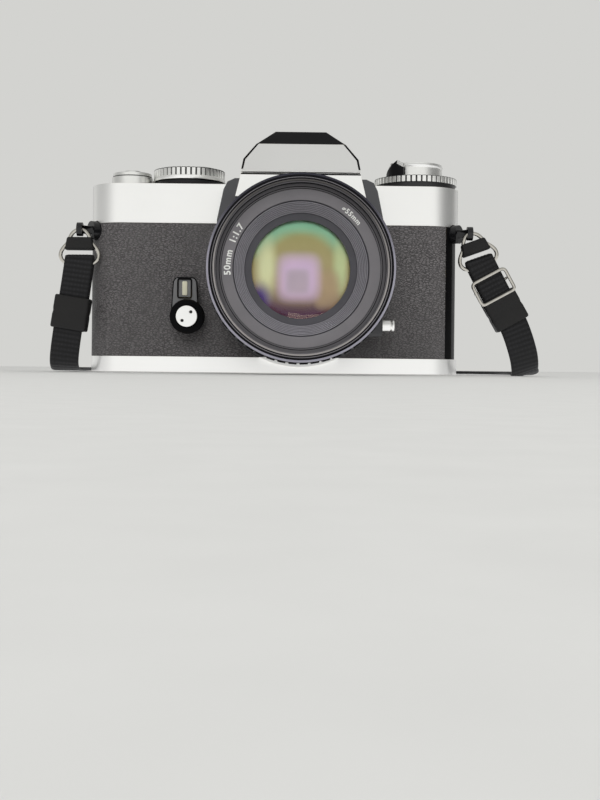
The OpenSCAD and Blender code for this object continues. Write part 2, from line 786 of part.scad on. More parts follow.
module pressure_plate() {
    color("#2c2c2e") union() {
        span([-plate_half, film_y + 0.3, lens_z - plate_rise],
            [plate_half, film_y + 1.5, lens_z + plate_rise]);
        for (x = [-14, 14]) translate([x, film_y + 1.4, lens_z]) rotate([-90, 0, 0])
            cylinder(r = 2.4, h = yb - door_t - film_y - 1.4);
    }
}

module release_button() {
    color("#cfcfcc") difference() {
        union() {
            post(wind_x, wind_y, button_r, wind_top - 2.2, wind_top + 0.9);
            post(wind_x, wind_y, button_r - 0.4, wind_top + 0.8, wind_top + 1.1);
        }
        post(wind_x, wind_y, 1.2, wind_top - 0.6, wind_top + 3);
    }
}

module shutter_dial() {
    color("#cfcfcc") union() {
        difference() {
            translate([dial_x, dial_y, mode_top + gap]) linear_extrude(dial_top - mode_top - gap - 0.5)
                ribbed(dial_r, 0.45, dial_ribs);
            post(dial_x, dial_y, dial_r - 1.6, dial_top - 0.9, dial_top + e);
        }
        post(dial_x, dial_y, dial_r - 2, dial_top - 1.4, dial_top);
        post(dial_x, dial_y, dial_shaft, cast_top - 1.4, mode_top + 1);
    }
}

module mode_lever() {
    color("#19191a") difference() {
        union() {
            post(dial_x, dial_y, dial_r - 0.5, cover_top + gap, mode_top);
            translate([dial_x, dial_y, cover_top + gap]) linear_extrude(mode_top - cover_top - gap)
                polygon([[dial_r - 3, -3.4], [dial_r + 3.6, -1.8], [dial_r + 3.6, 1.8], [dial_r - 3, 3.4]]);
        }
        post(dial_x, dial_y, dial_shaft + gap, cover_top, mode_top + e);
    }
}

module advance_lever() {
    z0 = cover_top + gap;
    color("#c6c6c3") difference() {
        union() {
            post(wind_x, wind_y, hub_r, z0, wind_top - 1.5);
            post(wind_x, wind_y, hub_r - 0.45, z0 + 1, wind_top);
            post(wind_x, wind_y, wind_shaft, cast_top + 0.4, z0 + 1);
            translate([wind_x, wind_y, z0 + 0.6]) rotate(wind_rest) linear_extrude(2.6)
                polygon([[0, -hub_r + 0.4], [8, -4.4], [wind_len - 3, -3], [wind_len, -1.6], [wind_len, 3.4],
                         [wind_len - 2, 4.6], [9, 4.4], [0, hub_r - 0.4]]);
        }
        post(wind_x, wind_y, button_r + fit, wind_top - 2.2 - button_travel - gap, wind_top + e);
    }
}

module exposure_dial() {
    color("#c9c9c6") difference() {
        union() {
            post(rewind_x, 0, iso_r - 0.6, cover_top + gap, cover_top + 2.2);
            translate([rewind_x, 0, cover_top + 2.1]) linear_extrude(iso_top - cover_top - 2.1)
                ribbed(iso_r, 0.45, iso_ribs);
        }
        post(rewind_x, 0, sleeve_or + gap, cover_top, iso_top + e);
    }
}

module rewind_sleeve() {
    color("#8f8f8c") difference() {
        post(rewind_x, 0, sleeve_or, chamber_top - 1, iso_top - 0.6);
        post(rewind_x, 0, rewind_shaft + fit, 0, 100);
    }
}

module rewind_knob() {
    color("#d2d2cf") difference() {
        union() {
            post(rewind_x, 0, knob_r, knob_z, knob_top);
            post(rewind_x, 0, rewind_shaft, chamber_top - 5, knob_z + 1);
        }
        // Fork slot at the foot of the shaft
        span([rewind_x - 0.8, -5, chamber_top - 6], [rewind_x + 0.8, 5, chamber_top - 2.4]);
        // Seat of the finger knob and groove of the crank's arm
        post(rewind_x - crank_reach, 0, crank_r + gap, knob_z - e, knob_top + e);
        span([rewind_x - knob_r - e, -crank_r - gap, knob_z - e],
            [rewind_x - crank_reach, crank_r + gap, knob_top + e]);
        span([rewind_x - knob_r, -2.4 - gap, knob_top - crank_t - gap],
            [rewind_x + crank_pivot + 2.2, 2.4 + gap, knob_top + e]);
        translate([rewind_x + crank_pivot, 0, knob_top - 0.6]) rotate([90, 0, 0])
            cylinder(r = 0.6 + fit, h = 8, center = true);
        span([rewind_x + crank_pivot - 0.1, -2.4 - gap, knob_top - 2.6],
            [rewind_x + knob_r + e, 2.4 + gap, knob_top + e]);
    }
}

module rewind_crank() {
    color("#c4c4c1") union() {
        span([rewind_x - crank_reach, -2.4, knob_top - crank_t], [rewind_x + crank_pivot, 2.4, knob_top]);
        post(rewind_x - crank_reach, 0, 2.4, knob_top - crank_t, knob_top + 0.9);
        translate([rewind_x + crank_pivot, 0, knob_top - 0.6]) rotate([90, 0, 0]) cylinder(r = 0.6,
            h = 7.6, center = true);
    }
}

module crank_knob() {
    color("#161617") post(rewind_x - crank_reach, 0, crank_r, knob_z + 0.4, knob_top - crank_t);
}

module self_timer_lever() {
    color("#1b1b1c") union() {
        translate([timer_x, timer_y, timer_z]) rotate([90, 0, 0]) cylinder(r = timer_hub, h = 2.7);
        translate([timer_x, timer_y, timer_z]) rotate([-90, 0, 0]) cylinder(r = timer_shaft, h = 4.4);
        translate([timer_x, timer_y - 2.6, timer_z]) front_solid([[-4.2, 0], [-3.9, timer_len - 2],
            [-2.6, timer_len],
            [2.6, timer_len], [3.9, timer_len - 2], [4.2, 0]], -2.2, 0);
        translate([timer_x, timer_y - 2.6, timer_z]) rotate([90, 0, 0]) cylinder(r = 4.4, h = 2.2);
        translate([timer_x, timer_y - 4.7, timer_z]) front_solid([[-0.9, timer_len - 7],
            [-0.9, timer_len - 1.6],
            [0.9, timer_len - 1.6], [0.9, timer_len - 7]], -0.4, 0);
    }
}

module self_timer_cap() {
    color("#d2d2cf") translate([timer_x, timer_y - 4.8, timer_z]) rotate([90, 0, 0]) difference() {
        cylinder(r = 3.8, h = 1);
        for (a = [45, 225]) rotate(a) translate([2.2, 0, 0.3]) cylinder(r = 0.55, h = 3);
    }
}

module lens_release() {
    color("#d2d2cf") translate([release_boss - 4.6, -release_t, release_z]) rotate([0, 90, 0]) difference() {
        cylinder(r = release_r, h = 9);
        translate([0, 0, 7.6]) difference() {
            cylinder(r = release_r + e, h = 0.5);
            cylinder(r = release_r - 0.4, h = 0.5);
        }
    }
}

module battery_cover() {
    color("#b5b5b2") difference() {
        union() {
            post(battery_x, battery_y, battery_r, 0.2, 2.8);
            post(battery_x, battery_y, battery_r - 1, 2.7, base_h + 4.6);
        }
        span([battery_x - 4.5, battery_y - 0.6, 0], [battery_x + 4.5, battery_y + 0.6, 1.2]);
    }
}

module rewind_button() {
    color("#b5b5b2") post(button2_x, 0, button2_r, 0.4, base_h + 2);
}

module reflex_mirror() {
    color("#b8c4cc") translate([0, mirror_y, mirror_z]) rotate([45, 0, 0]) difference() {
        union() {
            span([-mirror_w / 2, -mirror_len, -0.4], [mirror_w / 2, -0.2, 1.8]);
            rotate([0, 90, 0]) cylinder(r = 1.6, h = mirror_w, center = true);
        }
        rotate([0, 90, 0]) cylinder(r = mirror_pin + fit, h = 60, center = true);
    }
}

module takeup_spool() {
    color("#1e1e20") union() {
        post(wind_x, wind_y, spool_r, chamber_bot + 0.5, chamber_top - 0.5);
        for (z = [chamber_bot + 0.5, chamber_top - 2]) post(wind_x, wind_y, spool_r + 3.6, z, z + 1.5);
        post(wind_x, wind_y, 1.5, base_h + 0.2, cast_top);
    }
}

module film_sprocket() {
    color("#b8b8b5") union() {
        post(sprocket_x, sprocket_y, sprocket_r - 1, chamber_bot + 0.5, chamber_top - 0.5);
        post(sprocket_x, sprocket_y, 1.5, base_h + 0.2, cast_top);
        for (z = [lens_z - 14, lens_z + 14]) {
            post(sprocket_x, sprocket_y, sprocket_r, z - 2, z + 2);
            translate([sprocket_x, sprocket_y, z - 0.6]) for (k = [0 : 7]) rotate(45 * k + 22.5)
                translate([0, -0.7, 0]) cube([sprocket_r + 1.1, 1.4, 1.2]);
        }
    }
}

module lens_barrel() {
    color("#19191a") turned([[tail_r, lens_t0], [barrel_r, lens_t0], [barrel_r, ap_t0 - gap],
        [sleeve_r, ap_t0 - gap],
        [sleeve_r, ap_t1 + gap], [barrel_r, ap_t1 + gap], [barrel_r, scale_t1], [sleeve_r, scale_t1],
        [sleeve_r, sleeve_t1], [bore_r, sleeve_t1], [bore_r, lens_t0 + 2.7], [tail_r, lens_t0 + 2.7]]);
}

module lens_bayonet() {
    r = throat_r - 1.2 - gap;
    color("#c4c4c2") union() {
        turned([[17.5, drum_t - 0.4], [r, drum_t - 0.4], [r, lens_t0], [tail_r, lens_t0],
            [tail_r, lens_t0 + 2.7],
                [17.5, lens_t0 + 2.7]]);
        on_axis() for (a = [0 : 120 : 240]) rotate(a + claw_start)
            translate([0, 0, drum_t + 0.9]) rotate_extrude(angle = claw_angle)
            translate([r - 0.2, 0]) square([1.4, flange_t - drum_t - 2.8]);
    }
}

module aperture_ring() {
    color("#1c1c1d") on_axis() translate([0, 0, ap_t0]) difference() {
        union() {
            cylinder(r = barrel_r - 0.6, h = ap_t1 - ap_t0);
            translate([0, 0, 0.6]) linear_extrude(4.4) knurl(barrel_r, 0.8, 30);
        }
        translate([0, 0, -e]) cylinder(r = ring_bore, h = 20);
    }
}

module focus_ring() {
    color("#19191a") turned([[ring_bore, scale_t1 + gap], [barrel_r - 0.2, scale_t1 + gap],
        [barrel_r - 0.2, scale_t1 + 5],
        [barrel_r - 0.7, scale_t1 + 5], [barrel_r - 0.7, rim_t0 - 2], [barrel_r - 0.3, rim_t0 - 2],
        [barrel_r - 0.3, rim_t0 - gap], [ring_bore, rim_t0 - gap]]);
}

module focus_grip() {
    n = 3;
    t0 = scale_t1 + 5;
    t1 = rim_t0 - 2;
    h = (t1 - t0 - 0.8 * (n + 1)) / n;
    color("#121213") on_axis() difference() {
        union() {
            translate([0, 0, t0]) cylinder(r = grip_r - 0.65, h = t1 - t0, $fn = 240);
            for (i = [0 : n - 1]) translate([0, 0, t0 + 0.8 + i * (h + 0.8)]) linear_extrude(h)
                ribbed(grip_r, 0.6, grip_ribs);
        }
        translate([0, 0, t0 - e]) cylinder(r = barrel_r - 0.7, h = t1 - t0 + 2 * e, $fn = 240);
    }
}

module optical_barrel() {
    color("#161617") union() {
        turned([[cell_r, lens_t0 + 1.1], [cell_r + 2.9, lens_t0 + 1.1], [cell_r + 2.9, plate_t - 2],
            [slide_r, plate_t - 2],
            [slide_r, rim_t0], [rim_r, rim_t0], [rim_r, lens_t1], [filter_r, lens_t1], [filter_r, shelf_t],
            [name_r + 0.02, shelf_t], [name_r + 0.02, seat_t], [cavity_r, seat_t], [cavity_r, plate_t],
            [cell_r, plate_t]]);
        on_axis() for (k = [0 : 5]) rotate(60 * k) translate([iris_pivot, 0, plate_t - 0.5])
            cylinder(r = iris_pin, h = 1.1 + k * iris_pitch);
    }
}

module name_ring() {
    color("#6b6a6b") turned([[name_r, seat_t], [name_r, name_t], [name_in, name_t],
        [name_in - 0.1, name_t - 0.5],
        [glass_r + 2.4, cone_t], [glass_r + 2.4, cone_t - 0.4], [glass_r, lip_t], [glass_r, lip_t - 1],
        [glass_r + 2.4, lip_t - 1], [glass_r + 2.4, seat_t]]);
}

module front_element() {
    vertex = lip_t + 2.2;
    color("#6d5a8c") on_axis() intersection() {
        translate([0, 0, seat_t - 1]) cylinder(r = glass_r + 2.2, h = 14);
        translate([0, 0, vertex - glass_R]) sphere(r = glass_R, $fn = 96);
    }
}

module rear_element() {
    color("#6d6a7c") on_axis() intersection() {
        translate([0, 0, lens_t0 + 1.6]) cylinder(r = cell_r, h = plate_t - lens_t0 - 3);
        translate([0, 0, lens_t0 + 1.6 + rear_R]) sphere(r = rear_R, $fn = 96);
    }
}

// One crescent blade of the iris, in its own layer
module iris(k) {
    color("#3c3c40") on_axis() rotate(60 * k) translate([0, 0, iris_t + k * iris_pitch]) difference() {
        union() {
            rotate(-2) rotate_extrude(angle = 52) translate([glass_r - 0.2, 0])
                square([cavity_r - 0.8 - glass_r, iris_thick]);
            translate([iris_pivot, 0, 0]) cylinder(r = 2, h = iris_thick);
        }
        translate([iris_pivot, 0, -e]) cylinder(r = iris_pin + fit, h = 3);
    }
}

module iris_blade_1() {
    iris(0);
}

module iris_blade_2() {
    iris(1);
}

module iris_blade_3() {
    iris(2);
}

module iris_blade_4() {
    iris(3);
}

module iris_blade_5() {
    iris(4);
}

module iris_blade_6() {
    iris(5);
}

// A closed wire loop swept along rounded-triangle points
function tri(i, n) = let (a = 360 * i / n, c = [0, -ring_h / 2 - 0.2],
    q = 1 + 0.20 * cos(3 * a), r = [ring_w * 0.5 * q * sin(a), ring_h * 0.5 * q * cos(a)]) [r[0],
        c[1] + r[1]];

module wire_ring() {
    n = 30;
    m = 8;
    pts = [for (i = [0 : n - 1]) let (p = tri(i, n), d = unit(tri(i + 1, n) - tri(i - 1, n)), s = [-d[1],
        d[0]])
        for (j = [0 : m - 1]) let (u = wire_d / 2 * cos(360 * j / m), v = wire_d / 2 * sin(360 * j / m))
            [p[0] + s[0] * u, v, p[1] + s[1] * u]];
    faces = [for (i = [0 : n - 1], j = [0 : m - 1]) let (a = i * m + j, b = i * m + (j + 1) % m,
        c = ((i + 1) % n) * m + (j + 1) % m, d = ((i + 1) % n) * m + j) each [[a, b, c], [a, c, d]]];
    polyhedron(points = pts, faces = faces);
}

module strap_rings() {
    color("#b5b3ae") for (s = [-1, 1]) translate([body_off + s * lug_dx, lug_y, lug_z])
        rotate([0, s > 0 ? -right_lean : 0, 0]) translate([0, 0, -tri(0, 30)[1] - 0.1]) wire_ring();
}

module strap_webbing() {
    n = len(strap_pts);
    pts = [for (i = [0 : n - 1]) let (p = xyz(strap_pts[i]), w = across(i), u = unit(cross(w, tangent(i))))
        each [p - w * strap_w / 2 - u * strap_t / 2, p + w * strap_w / 2 - u * strap_t / 2,
              p + w * strap_w / 2 + u * strap_t / 2, p - w * strap_w / 2 + u * strap_t / 2]];
    sides = [for (i = [0 : n - 2], j = [0 : 3]) let (a = 4 * i + j, b = 4 * i + (j + 1) % 4, c = b + 4,
        d = a + 4)
        each [[a, c, b], [a, d, c]]];
    ends = [[0, 1, 2], [0, 2, 3], [4 * n - 4, 4 * n - 2, 4 * n - 3], [4 * n - 4, 4 * n - 1, 4 * n - 2]];
    color("#1a1a1b") polyhedron(points = pts, faces = concat(sides, ends));
}

// A flat sleeve that holds the two layers of webbing together
module keeper(place, tilt) {
    translate(place) rotate([0, tilt, 0]) difference() {
        cube([strap_w + 2.6, 6.4, 12], center = true);
        cube([strap_w + 0.6, 4.9, 20], center = true);
    }
}

module strap_keepers() {
    color("#161617") {
        keeper(keeper_l, keeper_tilt_l);
        keeper(keeper_r, keeper_tilt_r);
    }
}

body_casting();
top_cover();
prism_cap();
hot_shoe();
base_plate();
base_screws();
tripod_bush();
front_leather();
mount_housing();
body_bayonet();
mount_screws();
mirror_box();
focusing_screen();
pentaprism();
eyepiece_frame();
eyepiece_lens();
shutter_frame();
strap_lugs();
hinge_pin();
back_door();
door_leather();
pressure_plate();
release_button();
shutter_dial();
mode_lever();
advance_lever();
exposure_dial();
rewind_sleeve();
rewind_knob();
rewind_crank();
crank_knob();
self_timer_lever();
self_timer_cap();
lens_release();
battery_cover();
rewind_button();
reflex_mirror();
shutter_blade_1();
shutter_blade_2();
shutter_blade_3();
takeup_spool();
film_sprocket();
lens_barrel();
lens_bayonet();
aperture_ring();
focus_ring();
focus_grip();
optical_barrel();
name_ring();
front_element();
rear_element();
iris_blade_1();
iris_blade_2();
iris_blade_3();
iris_blade_4();
iris_blade_5();
iris_blade_6();
strap_rings();
strap_webbing();
strap_keepers();
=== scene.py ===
import json
import math

import bmesh
import bpy
from mathutils import Matrix, Vector


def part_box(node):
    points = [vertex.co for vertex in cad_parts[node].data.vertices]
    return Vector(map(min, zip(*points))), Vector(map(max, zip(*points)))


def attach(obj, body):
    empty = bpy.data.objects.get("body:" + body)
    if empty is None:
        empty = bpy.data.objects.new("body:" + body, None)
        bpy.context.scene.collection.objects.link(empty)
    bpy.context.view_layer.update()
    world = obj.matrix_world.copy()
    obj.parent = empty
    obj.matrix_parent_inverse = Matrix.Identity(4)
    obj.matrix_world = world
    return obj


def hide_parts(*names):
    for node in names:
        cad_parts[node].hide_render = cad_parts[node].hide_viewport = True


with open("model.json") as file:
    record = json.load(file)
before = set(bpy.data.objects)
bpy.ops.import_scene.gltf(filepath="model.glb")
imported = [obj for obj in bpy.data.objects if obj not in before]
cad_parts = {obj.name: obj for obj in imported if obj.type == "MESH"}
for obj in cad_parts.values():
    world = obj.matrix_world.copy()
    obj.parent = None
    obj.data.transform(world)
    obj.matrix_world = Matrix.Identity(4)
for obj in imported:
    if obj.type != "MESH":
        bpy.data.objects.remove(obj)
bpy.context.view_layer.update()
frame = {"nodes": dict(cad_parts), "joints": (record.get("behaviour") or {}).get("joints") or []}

MM = 0.001
LOW, HIGH = 0, 1
X, Y, Z = 0, 1, 2
# Where each hinge's axis is, in millimetres
axes = {joint["name"]: [v / MM for v in joint["pos_m"]] for joint in frame["joints"] if "pos_m" in joint}
LENS_Z = axes["lens_twist"][Z]


def edge_of(node, side, axis):
    """Where a solid ends, in millimetres, at the low or high side of an axis."""
    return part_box(node)[side][axis] / MM


scene = bpy.context.scene
scene.view_settings.view_transform = "Standard"

# The view: nearly square on to the front and just above the floor, as the photograph looks at it
view = bpy.data.objects.new("front_view", bpy.data.cameras.new("front_view"))
view.data.sensor_width = 36
view.data.lens = 53.15
view.data.shift_y = -0.0404
view.data.clip_start = 0.002
view.location = (-0.0038, -0.445, 0.002)
view.rotation_euler = (math.radians(90), math.radians(-0.6), math.radians(-0.58))
scene.collection.objects.link(view)
scene.camera = view


# Finishes

def hue(code):
    """An sRGB hex colour as linear red, green, blue and alpha."""
    parts = [int(code[i:i + 2], 16) / 255 for i in (1, 3, 5)]
    return tuple(c / 12.92 if c <= 0.04045 else ((c + 0.055) / 1.055) ** 2.4 for c in parts) + (1.0,)


def per_mm(size):
    """Texture scale, for coordinates in metres, that makes one pattern step this many millimetres."""
    return 1000.0 / size


def lines_apart(size):
    """Scale of a wave texture whose lines are this many millimetres apart."""
    return per_mm(size) * math.pi / 10


def feed(node, *values, **named):
    """Set or link a node's inputs, in order or by name; a node as a value stands for its first output.

    Outputs for other types of data than the node's own aren't enabled, so they don't count.
    """
    inputs = dict(enumerate(values))
    inputs.update((name.replace("_", " "), value) for name, value in named.items())
    for key, value in inputs.items():
        if isinstance(value, bpy.types.Node):
            value = next(output for output in value.outputs if output.enabled)
        if isinstance(value, bpy.types.NodeSocket):
            node.id_data.links.new(value, node.inputs[key])
        else:
            node.inputs[key].default_value = value


def add(tree, kind, *values, **named):
    """One node: a small name is one of its settings, and the rest goes to its inputs as feed has it.

    The kind of a shader's node is given without its prefix.
    """
    made = tree.nodes.new(kind if "Node" in kind else "ShaderNode" + kind)
    for name in [name for name in named if name.islower()]:
        setattr(made, name, named.pop(name))
    feed(made, *values, **named)
    return made


def blend(tree, factor, *ends):
    """A colour between two: each is a hex colour, a linear one or a node."""
    first, second = (hue(end) if isinstance(end, str) else end for end in ends)
    return add(tree, "Mix", Factor=factor, A=first, B=second, data_type="RGBA")


def noise(tree, place, size, detail):
    """Cloudy noise with steps of this many millimetres."""
    return add(tree, "TexNoise", Vector=place, Scale=per_mm(size), Detail=detail)


def eased(tree, value, start, full, **ends):
    """From 0 to 1, or between the ends given, with a soft beginning and end."""
    return add(tree, "MapRange", Value=value, From_Min=start, From_Max=full, **ends,
               interpolation_type="SMOOTHSTEP")


def new_finish(name, **sockets):
    """A finish with its constant sockets set: its material, node tree, shader and place on the object."""
    finish = bpy.data.materials.new(name)
    finish.use_nodes = True
    tree = finish.node_tree
    shader = tree.nodes["Principled BSDF"]
    feed(shader, **sockets)
    return finish, tree, shader, add(tree, "TexCoord").outputs["Object"]


def surface(shader, tone, rough, relief):
    """Link a shader's colour, its roughness and its relief.

    Roughness is given as (patches, lowest, highest), and relief as (height, strength, depth in millimetres).
    """
    tree = shader.id_data
    patches, lowest, highest = rough
    height, strength, depth = relief
    matt = add(tree, "MapRange", Value=patches, To_Min=lowest, To_Max=highest)
    bump = add(tree, "Bump", Height=height, Strength=strength, Distance=depth * MM)
    feed(shader, Base_Color=tone, Roughness=matt, Normal=bump)


def rubbed_edges(tree, radius, start, full):
    """Where a sharp edge is rubbed: the shading normal leans away from the face's own."""
    edge = add(tree, "Bevel", Radius=radius * MM, samples=4)
    face = add(tree, "NewGeometry").outputs["Normal"]
    same = add(tree, "VectorMath", edge, face, operation="DOT_PRODUCT")
    return add(tree, "MapRange", Value=same, From_Min=start, From_Max=full)


def satin_chrome_plate():
    # Brass, bead-blasted and chromed: a soft white sheen with a fine grit, brighter along rubbed edges
    finish, tree, shader, place = new_finish("satin_chrome_plate", Metallic=1.0)
    # The blast grit is about 0.05 mm and is drawn at 0.9 mm so that it shows
    grit = noise(tree, place, 0.9, detail=3.0)
    cloud = noise(tree, place, 22, detail=4.0)
    tone = blend(tree, cloud, "#f4f4f2", "#fdfdfb")
    rubbed = rubbed_edges(tree, 0.5, 0.995, 0.9)
    worn = blend(tree, rubbed, tone, "#fffdf8")
    surface(shader, worn, rough=(cloud, 0.28, 0.33), relief=(grit, 0.06, 0.02))
    return finish


def turned_chrome(name, centre):
    # Chromed brass turned on a lathe: hair-fine rings round the dial's own axis under a bright plate
    finish, tree, shader, place = new_finish(name, Metallic=1.0)
    moved = add(tree, "Mapping", Vector=place, Location=(-centre[0] * MM, -centre[1] * MM, 0))
    # Lathe lines are about 0.05 mm apart and are drawn 0.3 mm apart so that they show
    rings = add(tree, "TexWave", Vector=moved, Scale=lines_apart(0.3), Distortion=0.0,
                wave_type="RINGS", rings_direction="Z")
    grit = noise(tree, place, 4, detail=5.0)
    tone = blend(tree, grit, "#e6e6e3", "#f7f7f4")
    surface(shader, tone, rough=(grit, 0.28, 0.34), relief=(rings.outputs["Fac"], 0.06, 0.01))
    return finish


def ribbed_chrome(name, centre, rib_r, skirt_z, crown_z):
    # A coin-edge dial: chromed ribs with painted shade, a dark unplated tone, in the floors of the grooves;
    # the same dark tone on the skirt and round the top edge
    finish, tree, shader, place = new_finish(name)
    moved = add(tree, "Mapping", Vector=place, Location=(-centre[0] * MM, -centre[1] * MM, 0),
                Scale=(1, 1, 0))
    reach = add(tree, "VectorMath", moved, operation="LENGTH")
    # The floor of each groove is dark: painted shade
    rib = add(tree, "MapRange", Value=reach, From_Min=(rib_r - 0.42) * MM, From_Max=(rib_r - 0.25) * MM)
    inner = add(tree, "Math", reach, (rib_r - 1.2) * MM, operation="LESS_THAN")
    high = add(tree, "SeparateXYZ", Vector=place)
    above = add(tree, "Math", high.outputs["Z"], skirt_z * MM, operation="GREATER_THAN")
    below = add(tree, "Math", high.outputs["Z"], crown_z * MM, operation="LESS_THAN")
    facet = add(tree, "Math", rib, below, operation="MULTIPLY")
    chrome_outside_groove_shade = add(tree, "Math", facet, inner, operation="MAXIMUM")
    bright = add(tree, "Math", chrome_outside_groove_shade, above, operation="MULTIPLY")
    grit = noise(tree, place, 3, detail=3.0)
    plate = blend(tree, grit, "#efefec", "#fbfbf8")
    tone = blend(tree, bright, "#161617", plate)
    feed(shader, Metallic=bright)
    surface(shader, tone, rough=(grit, 0.28, 0.36), relief=(grit, 0.04, 0.02))
    return finish


def painted(name, colour, bare, grain, rough, depth, coat=0.0, shine=0.3):
    # Paint sprayed and baked on metal: a faint orange peel, rubbed through to the metal along sharp edges
    finish, tree, shader, place = new_finish(name, Coat_Weight=coat, Coat_Roughness=0.12,
                                             Specular_IOR_Level=shine)
    peel = noise(tree, place, grain, detail=3.0)
    dust = noise(tree, place, 9, detail=6.0)
    rubbed = rubbed_edges(tree, 0.3, 0.96, 0.75)
    patchy = add(tree, "MapRange", Value=dust, From_Min=0.5, From_Max=0.72, To_Max=0.7)
    worn = add(tree, "Math", rubbed, patchy, operation="MULTIPLY")
    tone = blend(tree, worn, colour, bare)
    surface(shader, tone, rough=(dust, rough - 0.06, rough + 0.08), relief=(peel, 0.25, depth))
    return finish


def anodised(name, dark, light, metallic, rough, shine=0.3, upper=None):
    # Aluminium turned and anodised: a silky surface with fine lines round the lens axis. Given a top colour,
    # a pale edge is painted reflection as well as rubbed wear: pale below, fading to that darker colour
    # towards the top
    finish, tree, shader, place = new_finish(name, Metallic=metallic, Specular_IOR_Level=shine)
    moved = add(tree, "Mapping", Vector=place, Location=(0, 0, -LENS_Z * MM))
    # Turning lines are about 0.06 mm apart and are drawn 0.25 mm apart so that they show
    rings = add(tree, "TexWave", Vector=moved, Scale=lines_apart(0.25), Distortion=0.0,
                wave_type="RINGS", rings_direction="Y")
    along = add(tree, "TexWave", Vector=place, Scale=lines_apart(0.25), Distortion=0.0,
                wave_type="BANDS", bands_direction="Y")
    lines = add(tree, "Math", rings.outputs["Fac"], along.outputs["Fac"], operation="ADD")
    dust = noise(tree, place, 6, detail=6.0)
    tone = blend(tree, dust, dark, light)
    # Pale below and darker at the top: painted reflection
    if upper:
        high = add(tree, "SeparateXYZ", Vector=place)
        painted_reflection_fade = eased(tree, high.outputs["Z"], (LENS_Z - 2) * MM, (LENS_Z + 24) * MM)
        tone = blend(tree, painted_reflection_fade, tone, upper)
    surface(shader, tone, rough=(dust, rough - 0.07, rough + 0.07), relief=(lines, 0.12, 0.02))
    return finish


def leatherette():
    # Embossed vinyl leather: small wrinkled cells drawn out along the body, with painted light: pale on top
    # of the cells and painted shade in the creases
    finish, tree, shader, place = new_finish("embossed_leatherette", IOR=1.5, Specular_IOR_Level=0.35)
    bend = noise(tree, place, 2.2, detail=2.0)
    push = add(tree, "VectorMath", bend.outputs["Color"], (0.7 * MM,) * 3, place,
               operation="MULTIPLY_ADD")
    drawn = add(tree, "Mapping", Vector=push, Scale=(0.38, 0.38, 1.0))
    # The cells are about 1.3 mm long and 0.5 mm high
    cells = add(tree, "TexVoronoi", Vector=drawn, Scale=per_mm(0.5), feature="DISTANCE_TO_EDGE")
    top = eased(tree, cells, 0.02, 0.22)
    fine = noise(tree, drawn, 0.3, detail=4.0)
    hand = noise(tree, place, 18, detail=4.0)
    height = add(tree, "Math", fine, 0.35, top, operation="MULTIPLY_ADD")
    # Pale cell tops and dark creases: painted highlight and painted shade
    painted_cell_light = blend(tree, top, "#282626", "#807c7d")
    tone = blend(tree, hand, painted_cell_light, "#636161")
    surface(shader, tone, rough=(hand, 0.42, 0.58), relief=(height, 0.9, 0.16))
    return finish


def moulded(name, dark, light, rough, grain, depth):
    # Moulded black plastic or rubber: a fine spark-eroded grain, slightly shinier where it is handled
    finish, tree, shader, place = new_finish(name, IOR=1.49, Specular_IOR_Level=0.3)
    spark = noise(tree, place, grain, detail=3.0)
    hand = noise(tree, place, 7, detail=4.0)
    tone = blend(tree, hand, dark, light)
    surface(shader, tone, rough=(hand, rough - 0.08, rough + 0.08), relief=(spark, 0.3, depth))
    return finish


def steel(name, dark, light, low, high):
    # Turned or drawn steel with its bright skin: cloudy scuffs and a few dull spots
    finish, tree, shader, place = new_finish(name, Metallic=1.0)
    scuff = noise(tree, place, 1.6, detail=6.0)
    tone = blend(tree, scuff, dark, light)
    surface(shader, tone, rough=(scuff, low, high), relief=(scuff, 0.08, 0.03))
    return finish


def nylon_webbing():
    # Woven black nylon: the rows stand up in the mesh, painted paler on top as painted highlight, with fine
    # filaments and a little sheen
    finish, tree, shader, place = new_finish("woven_nylon", Sheen_Weight=0.1, Sheen_Roughness=0.4, IOR=1.53,
                                             Specular_IOR_Level=0.25)
    thread = noise(tree, place, 0.4, detail=4.0)
    fade = noise(tree, place, 14, detail=3.0)
    row_highlight_attribute = add(tree, "Attribute", attribute_name="row_highlight")
    # Row tops painted paler: painted highlight
    row = blend(tree, row_highlight_attribute.outputs["Fac"], "#050506", "#333335")
    tone = blend(tree, thread, "#0c0c0d", row)
    surface(shader, tone, rough=(fade, 0.5, 0.75), relief=(thread, 0.5, 0.08))
    return finish


def clear_glass(name, tint, film):
    # Polished optical glass with a thin coating: clear, with coloured reflections and a trace of dust
    finish, tree, shader, place = new_finish(name, Transmission_Weight=1.0, IOR=1.52,
                                             Thin_Film_Thickness=film, Thin_Film_IOR=1.38)
    dust = noise(tree, place, 5, detail=8.0)
    haze = add(tree, "MapRange", Value=dust, From_Min=0.55, To_Max=0.06)
    tone = blend(tree, dust, tint, "#ffffff")
    feed(shader, Base_Color=tone, Roughness=haze)
    return finish


